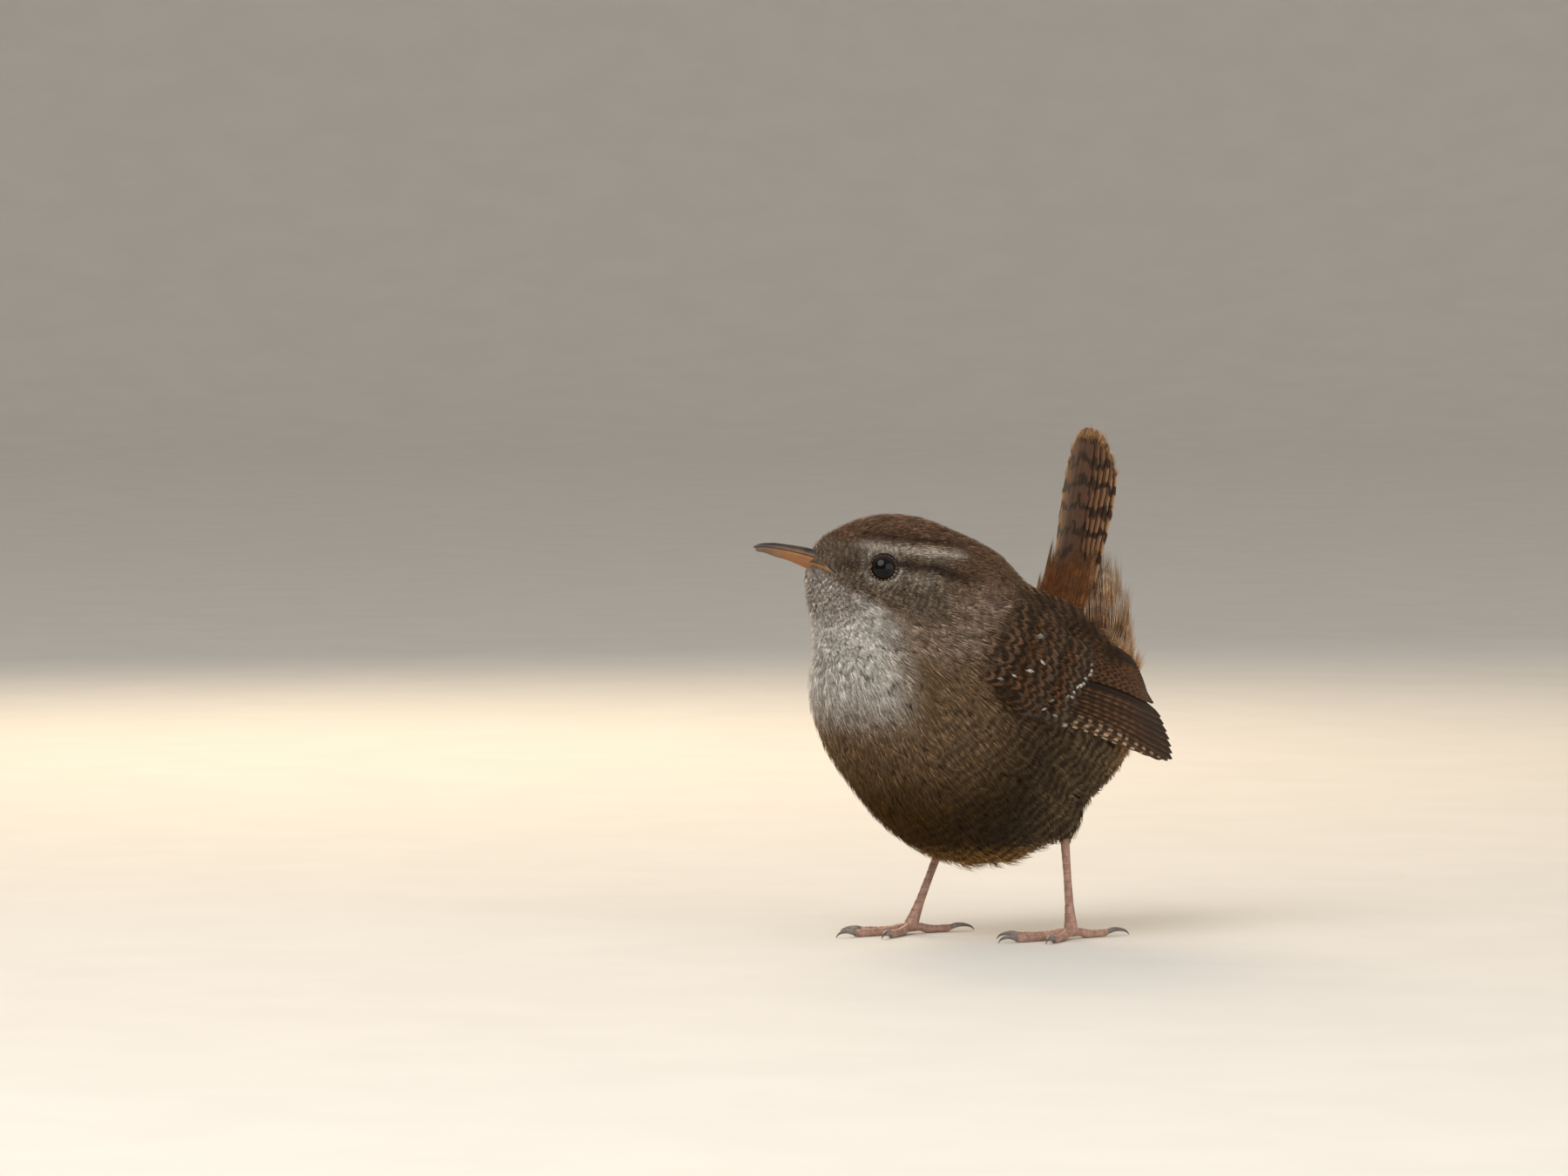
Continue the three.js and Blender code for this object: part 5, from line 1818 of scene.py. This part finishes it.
def toe_piece(name, at, foot):
    """A toe with its plates, flat where it stands on the floor; at(share, height) gives its line."""
    long = TOES[name]["long"]
    stations = [at(share, height) for share, height, _ in TOE_STATIONS]
    radii = [radius for _, _, radius in TOE_STATIONS]
    fine = np.interp(np.linspace(0, 1, 24), np.linspace(0, 1, len(radii)), radii)
    part = limb(f"toe_{name}", stations, fine, 20, 90, scaled(TOE_PLATE, long))
    points = kept_above(part)
    reach = np.hypot(points[:, 0] - foot[0], points[:, 1] - foot[1]) / long
    paint(part, {"seam": seam_of(reach, long, TOE_PLATE) * smooth(0.5, 0.8, points[:, 2])})
    return part


def toe_line(leg, side, toe):
    """A function from a share of the toe's length and a height to a point."""
    heading = math.radians((leg["turn"] + toe["turn"]) * side)
    ahead = np.array([-math.cos(heading), math.sin(heading), 0])
    foot = np.array([leg["foot"][0], leg["foot"][1], 0.0])
    return lambda share, height: foot + ahead * share * toe["long"] + np.array([0, 0, height])


def make_claws(colours):
    """Eight curved claws, one object for each toe."""
    material = horn_material("claw_horn", colours.claw[:3], colours.claw_edge[:3], srgb(0x1F1B1A), 0.32)
    for name, leg in LEGS.items():
        for toe_name, toe in TOES.items():
            at = toe_line(leg, SIDES[name], toe)
            reach = toe["claw"] / toe["long"]
            stations = [at(*CLAW_ROOT)] + [at(1 + share * reach, height) for share, height in CLAW_LINE]
            claw = limb(f"nail_{name}_{toe_name}", stations, CLAW_RADII, 18, 30)
            points = kept_above(claw, CLAW_CLEAR)
            far = np.hypot(*(points[:, :2] - leg["foot"][:2]).T) / toe["long"] - 1
            paint(claw, {"shade": 0.6 * smooth(0.1, reach, far)})
            dressed(claw, material, [f"claw_{name}_{toe_name}"])


# Stage

CAMERA_AZIMUTH = math.radians(28)
CAMERA_RISE = math.radians(3)
CAMERA_AWAY = 1450.0
PHOTO = (1800, 1350)
PIXELS_PER_MM = 6.9
ORIGIN_PIXEL = (1135, 1075)  # where the bird's own origin shows in the photo
SENSOR = 36.0
FLOOR_SIDES = 96
FLOOR_RADIUS = 2.2  # metres, as the sweep from floor to wall and the wall's height
SWEEP = 1.0
SWEEP_STEPS = 12
WALL_HEIGHT = 2.0
LIT = (-5, 0, 42)  # what the lights look at
CLOSEST, FARTHEST = 0.01, 20  # metres that the camera sees


def camera_frame():
    """The camera's right, up and forward directions."""
    c, s = math.cos(CAMERA_AZIMUTH), math.sin(CAMERA_AZIMUTH)
    ce, se = math.cos(CAMERA_RISE), math.sin(CAMERA_RISE)
    return np.array([c, -s, 0]), np.array([s * se, c * se, ce]), np.array([s * ce, c * ce, -se])


def aimed(ob, place, target):
    """Puts a light or the camera at a place, looking at a target, both in the bird's frame."""
    ob.location = Vector((np.array(place, float) + SHIFT) * MM)
    look = Vector((np.array(target, float) - np.array(place, float)))
    ob.rotation_euler = look.to_track_quat("-Z", "Y").to_euler()


def soft_light(name, place, size, power, colour):
    """A round lamp that looks at the bird."""
    nothing_selected()
    bpy.ops.object.light_add(type="AREA")
    lamp = bpy.context.object
    lamp.name = name
    lamp.data.shape = "DISK"
    lamp.data.size = size
    lamp.data.energy = power
    lamp.data.color = colour
    aimed(lamp, place, LIT)


def make_floor(colour):
    """A pale round floor whose edge curves up into a backdrop."""
    nothing_selected()
    bpy.ops.mesh.primitive_circle_add(vertices=FLOOR_SIDES, radius=FLOOR_RADIUS, fill_type="TRIFAN")
    floor = just_added("floor")
    select_edges(floor, lambda edge: edge.is_boundary)
    reach, high = FLOOR_RADIUS, 0.0
    for k in range(1, SWEEP_STEPS + 1):
        turn = k / SWEEP_STEPS * math.pi / 2
        wide, tall = FLOOR_RADIUS + SWEEP * math.sin(turn), SWEEP * (1 - math.cos(turn))
        bpy.ops.mesh.extrude_region_move(TRANSFORM_OT_translate={"value": (0, 0, tall - high)})
        bpy.ops.transform.resize(value=(wide / reach, wide / reach, 1), center_override=(0, 0, tall))
        reach, high = wide, tall
    bpy.ops.mesh.extrude_region_move(TRANSFORM_OT_translate={"value": (0, 0, WALL_HEIGHT)})
    bpy.ops.object.mode_set(mode="OBJECT")
    bpy.ops.object.shade_smooth()
    paper = Graph("stage_paper", Roughness=0.9, Specular_IOR_Level=0.2)
    share = paper.ramp(paper.noise(40), 0.3, 0.7)
    paper.colour(paper.mix(share, rgba(colour), rgba([c * 0.97 for c in colour])))
    floor.data.materials.append(paper.material)


def make_camera(right, up, view):
    """The camera at the photo's angle, with the photo's scale and middle."""
    nothing_selected()
    bpy.ops.object.camera_add()
    camera = bpy.context.object
    camera.name = "photo_camera"
    across = (PHOTO[0] / 2 - ORIGIN_PIXEL[0]) / PIXELS_PER_MM
    high = (ORIGIN_PIXEL[1] - PHOTO[1] / 2) / PIXELS_PER_MM
    target = right * across + up * high
    aimed(camera, target - view * CAMERA_AWAY, target)
    camera.data.sensor_width = SENSOR
    camera.data.lens = SENSOR * CAMERA_AWAY * PIXELS_PER_MM / PHOTO[0]
    camera.data.clip_start, camera.data.clip_end = CLOSEST, FARTHEST
    bpy.context.scene.camera = camera


def make_stage(stage):
    """The floor, the camera, three soft lights and an even light from all round."""
    right, up, view = camera_frame()
    make_floor(stage.floor_colour[:3])
    make_camera(right, up, view)
    soft_light("key", -view * 500 - right * 350 + (0, 0, 600), 0.7, stage.key_power, (1.0, 0.97, 0.93))
    soft_light("fill", -view * 600 + right * 500 + (0, 0, 150), 0.9, stage.fill_power, (0.98, 0.98, 1.0))
    soft_light("rim", view * 520 - right * 150 + (0, 0, 420), 0.4, stage.rim_power, (1.0, 0.8, 0.55))
    world = bpy.data.worlds.new("studio")
    world.use_nodes = True
    room = world.node_tree.nodes["Background"].inputs
    room["Color"].default_value = (0.9, 0.88, 0.86, 1)
    room["Strength"].default_value = stage.room_light
    bpy.context.scene.world = world
    bpy.context.scene.view_settings.view_transform = "Standard"


# Settings a user would change


def length_setting(name, description, default):
    return bpy.props.FloatProperty(
        name=name, description=description, default=default, min=0, unit="LENGTH", precision=5
    )


def colour_setting(name, description, code):
    return bpy.props.FloatVectorProperty(
        name=name, description=description, default=srgb(code), subtype="COLOR", size=3, min=0, max=1
    )


def count_setting(name, description, default):
    return bpy.props.IntProperty(name=name, description=description, default=default, min=4)


def power_setting(name, description, default, unit="POWER"):
    return bpy.props.FloatProperty(name=name, description=description, default=default, min=0, unit=unit)


class WrenCoatSettings(bpy.types.PropertyGroup):
    """Sizes of the coat"""

    skin_voxel: length_setting("Skin mesh", "Distance between the points of the skin", 0.00065)
    body_depth: length_setting("Body depth", "How deep the skin lies under the coat of the body", 0.0014)
    head_depth: length_setting("Head depth", "How deep the skin lies under the coat of the head", 0.0006)
    body_spacing: length_setting("Body spacing", "Distance between feather roots on the body", 0.00108)
    head_spacing: length_setting("Head spacing", "Distance between feather roots on the head", 0.00056)
    body_length: length_setting("Body length", "Length of a body feather", 0.0048)
    head_length: length_setting("Head length", "Length of a head feather", 0.0024)
    body_barb_width: length_setting("Body barb", "Width of a barb on the body", 0.00014)
    head_barb_width: length_setting("Head barb", "Width of a barb on the head", 0.000095)
    wing_barb_width: length_setting("Wing barb", "Width of a barb on the wing and the tail", 0.00017)
    body_barbs: count_setting("Body barbs", "Barbs in a body feather", 42)
    head_barbs: count_setting("Head barbs", "Barbs in a head feather", 20)
    wing_barbs: count_setting("Covert barbs", "Barbs in a wing covert", 44)
    tail_barbs: count_setting("Tail barbs", "Barbs in a tail covert", 54)


class WrenPlumageColours(bpy.types.PropertyGroup):
    """Colours of the plumage"""

    crown: colour_setting("Crown", "Warm brown of the crown", 0x6E5442)
    brow: colour_setting("Brow", "Pale stripe over the eye", 0xC4BAAC)
    stripe: colour_setting("Eye stripe", "Dark stripe through the eye", 0x30221B)
    cheek: colour_setting("Cheek", "Speckled side of the face", 0x807060)
    throat: colour_setting("Throat", "Pale throat and upper breast", 0xD0CBC4)
    breast: colour_setting("Breast", "Buff side of the breast", 0x80684E)
    belly: colour_setting("Belly", "Olive brown of the belly", 0x4C340F)
    flank: colour_setting("Flank", "Dark brown of the rear flank", 0x2A1A0B)
    bar_pale: colour_setting("Pale bar", "Pale bars of the rear flank", 0x927C60)
    # Painted rim light: the golden glow of backlit ends under the belly
    fringe: colour_setting("Fringe", "Golden ends under the belly", 0xB48648)
    shawl: colour_setting("Shawl", "Greyer patches of the neck's side", 0xAC9A8A)
    mantle: colour_setting("Mantle", "Brown of the back", 0x705844)
    rump: colour_setting("Rump", "Rufous rump and upper tail coverts", 0x623A1C)
    vent: colour_setting("Vent", "Golden buff under the tail", 0xD2A474)
    flight: colour_setting("Flight feathers", "Dark brown of the flight feathers", 0x20160F)
    flight_bar: colour_setting("Flight bars", "Buff bars of the flight feathers", 0xBAA486)
    covert: colour_setting("Coverts", "Rufous brown of the wing coverts", 0x5C3A20)
    pearl: colour_setting("Pale tips", "Whitish tips of single feathers", 0xDCD5C8)
    rectrix: colour_setting("Tail", "Rufous brown of the tail", 0x4A2F20)
    rectrix_bar: colour_setting("Tail bars", "Dark bars of the tail", 0x241914)


class WrenBareColours(bpy.types.PropertyGroup):
    """Colours of the bare parts"""

    horn: colour_setting("Upper bill", "Dark horn of the upper bill", 0x544840)
    horn_edge: colour_setting("Bill clouds", "Lighter clouds of the upper bill", 0x705038)
    mandible: colour_setting("Lower bill", "Orange brown of the lower bill", 0x92582C)
    gape: colour_setting("Gape", "Yellowish corner of the mouth", 0x8C6A3A)
    iris: colour_setting("Iris", "Very dark brown of the iris", 0x1C120C)
    pupil: colour_setting("Pupil", "Black of the pupil", 0x040303)
    lid_bead: colour_setting("Lid", "Pale beads of the lid", 0x9C8D80)
    leg: colour_setting("Legs", "Pinkish brown of the legs", 0xB08A78)
    leg_dark: colour_setting("Leg clouds", "Browner clouds of the legs", 0x8E6C5E)
    leg_seam: colour_setting("Leg seams", "Seams between the plates", 0x60463C)
    claw: colour_setting("Claws", "Grey brown of the claws", 0x6E6660)
    claw_edge: colour_setting("Claw clouds", "Lighter clouds of the claws", 0x8F857C)


class WrenStageSettings(bpy.types.PropertyGroup):
    """Light and floor"""

    floor_colour: colour_setting("Floor", "Colour of floor and backdrop", 0xDEDAD3)
    key_power: power_setting("Key light", "Power of the main soft light", 5.0)
    fill_power: power_setting("Fill light", "Power of the filling light", 3.5)
    rim_power: power_setting("Rim light", "Power of the warm light from behind", 2.2)
    room_light: power_setting("Room light", "Strength of the even light from all round", 0.65, unit="NONE")


# Operators and panel


class WREN_OT_skin(bpy.types.Operator):
    """Make the skin of head, neck, torso and thighs"""

    bl_idname = "wren.skin"
    bl_label = "Skin"

    def execute(self, context):
        make_skin(context.scene.wren_coat, context.scene.wren_plumage)
        return {"FINISHED"}


class WREN_OT_coat(bpy.types.Operator):
    """Grow the soft feathers of head and body on the skin"""

    bl_idname = "wren.coat"
    bl_label = "Coat"

    def execute(self, context):
        skin = bpy.data.objects.get("skin")
        if skin is None:
            raise RuntimeError("the coat grows on the skin: make the skin first")
        make_coat(skin, context.scene.wren_coat, context.scene.wren_plumage)
        return {"FINISHED"}


class WREN_OT_wings(bpy.types.Operator):
    """Lay the feathers of both folded wings"""

    bl_idname = "wren.wings"
    bl_label = "Wings"

    def execute(self, context):
        make_wings(context.scene.wren_coat, context.scene.wren_plumage)
        return {"FINISHED"}


class WREN_OT_tail(bpy.types.Operator):
    """Lay the feathers of the cocked tail"""

    bl_idname = "wren.tail"
    bl_label = "Tail"

    def execute(self, context):
        make_tail(context.scene.wren_coat, context.scene.wren_plumage)
        return {"FINISHED"}


class WREN_OT_bill(bpy.types.Operator):
    """Shape the bill and the corners of the mouth"""

    bl_idname = "wren.bill"
    bl_label = "Bill"

    def execute(self, context):
        make_bill(context.scene.wren_bare)
        return {"FINISHED"}


class WREN_OT_eyes(bpy.types.Operator):
    """Make the eyes and their lids"""

    bl_idname = "wren.eyes"
    bl_label = "Eyes"

    def execute(self, context):
        make_eyes(context.scene.wren_bare)
        return {"FINISHED"}


class WREN_OT_legs(bpy.types.Operator):
    """Shape the scaled shanks and toes"""

    bl_idname = "wren.legs"
    bl_label = "Legs"

    def execute(self, context):
        make_legs(context.scene.wren_bare)
        return {"FINISHED"}


class WREN_OT_claws(bpy.types.Operator):
    """Shape the claws"""

    bl_idname = "wren.claws"
    bl_label = "Claws"

    def execute(self, context):
        make_claws(context.scene.wren_bare)
        return {"FINISHED"}


class WREN_OT_stage(bpy.types.Operator):
    """Set the floor, the lights and the camera"""

    bl_idname = "wren.stage"
    bl_label = "Stage"

    def execute(self, context):
        make_stage(context.scene.wren_stage)
        return {"FINISHED"}


class WREN_PT_dressing(bpy.types.Panel):
    """Every step of the dressing, in order"""

    bl_idname = "WREN_PT_dressing"
    bl_label = "Wren"
    bl_space_type = "VIEW_3D"
    bl_region_type = "UI"
    bl_category = "Wren"

    def draw(self, context):
        for operator in OPERATORS:
            self.layout.operator(operator.bl_idname)
        for group in GROUPS:
            settings = getattr(context.scene, group)
            fields = self.layout.column(align=True)
            for key in keys_of(settings):
                fields.prop(settings, key)


OPERATORS = (
    WREN_OT_stage,
    WREN_OT_skin,
    WREN_OT_coat,
    WREN_OT_wings,
    WREN_OT_tail,
    WREN_OT_bill,
    WREN_OT_eyes,
    WREN_OT_legs,
    WREN_OT_claws,
)
GROUPS = {
    "wren_coat": WrenCoatSettings,
    "wren_plumage": WrenPlumageColours,
    "wren_bare": WrenBareColours,
    "wren_stage": WrenStageSettings,
}
CLASSES = (*GROUPS.values(), *OPERATORS, WREN_PT_dressing)


def register():
    for each in CLASSES:
        bpy.utils.register_class(each)
    for name, group in GROUPS.items():
        setattr(bpy.types.Scene, name, bpy.props.PointerProperty(type=group))


def unregister():
    for name in GROUPS:
        delattr(bpy.types.Scene, name)
    for each in reversed(CLASSES):
        bpy.utils.unregister_class(each)


def main():
    """Registers the add-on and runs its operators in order."""
    register()
    for operator in OPERATORS:
        step = getattr(bpy.ops.wren, operator.bl_idname.split(".")[1])
        step()


if __name__ == "__main__":
    main()
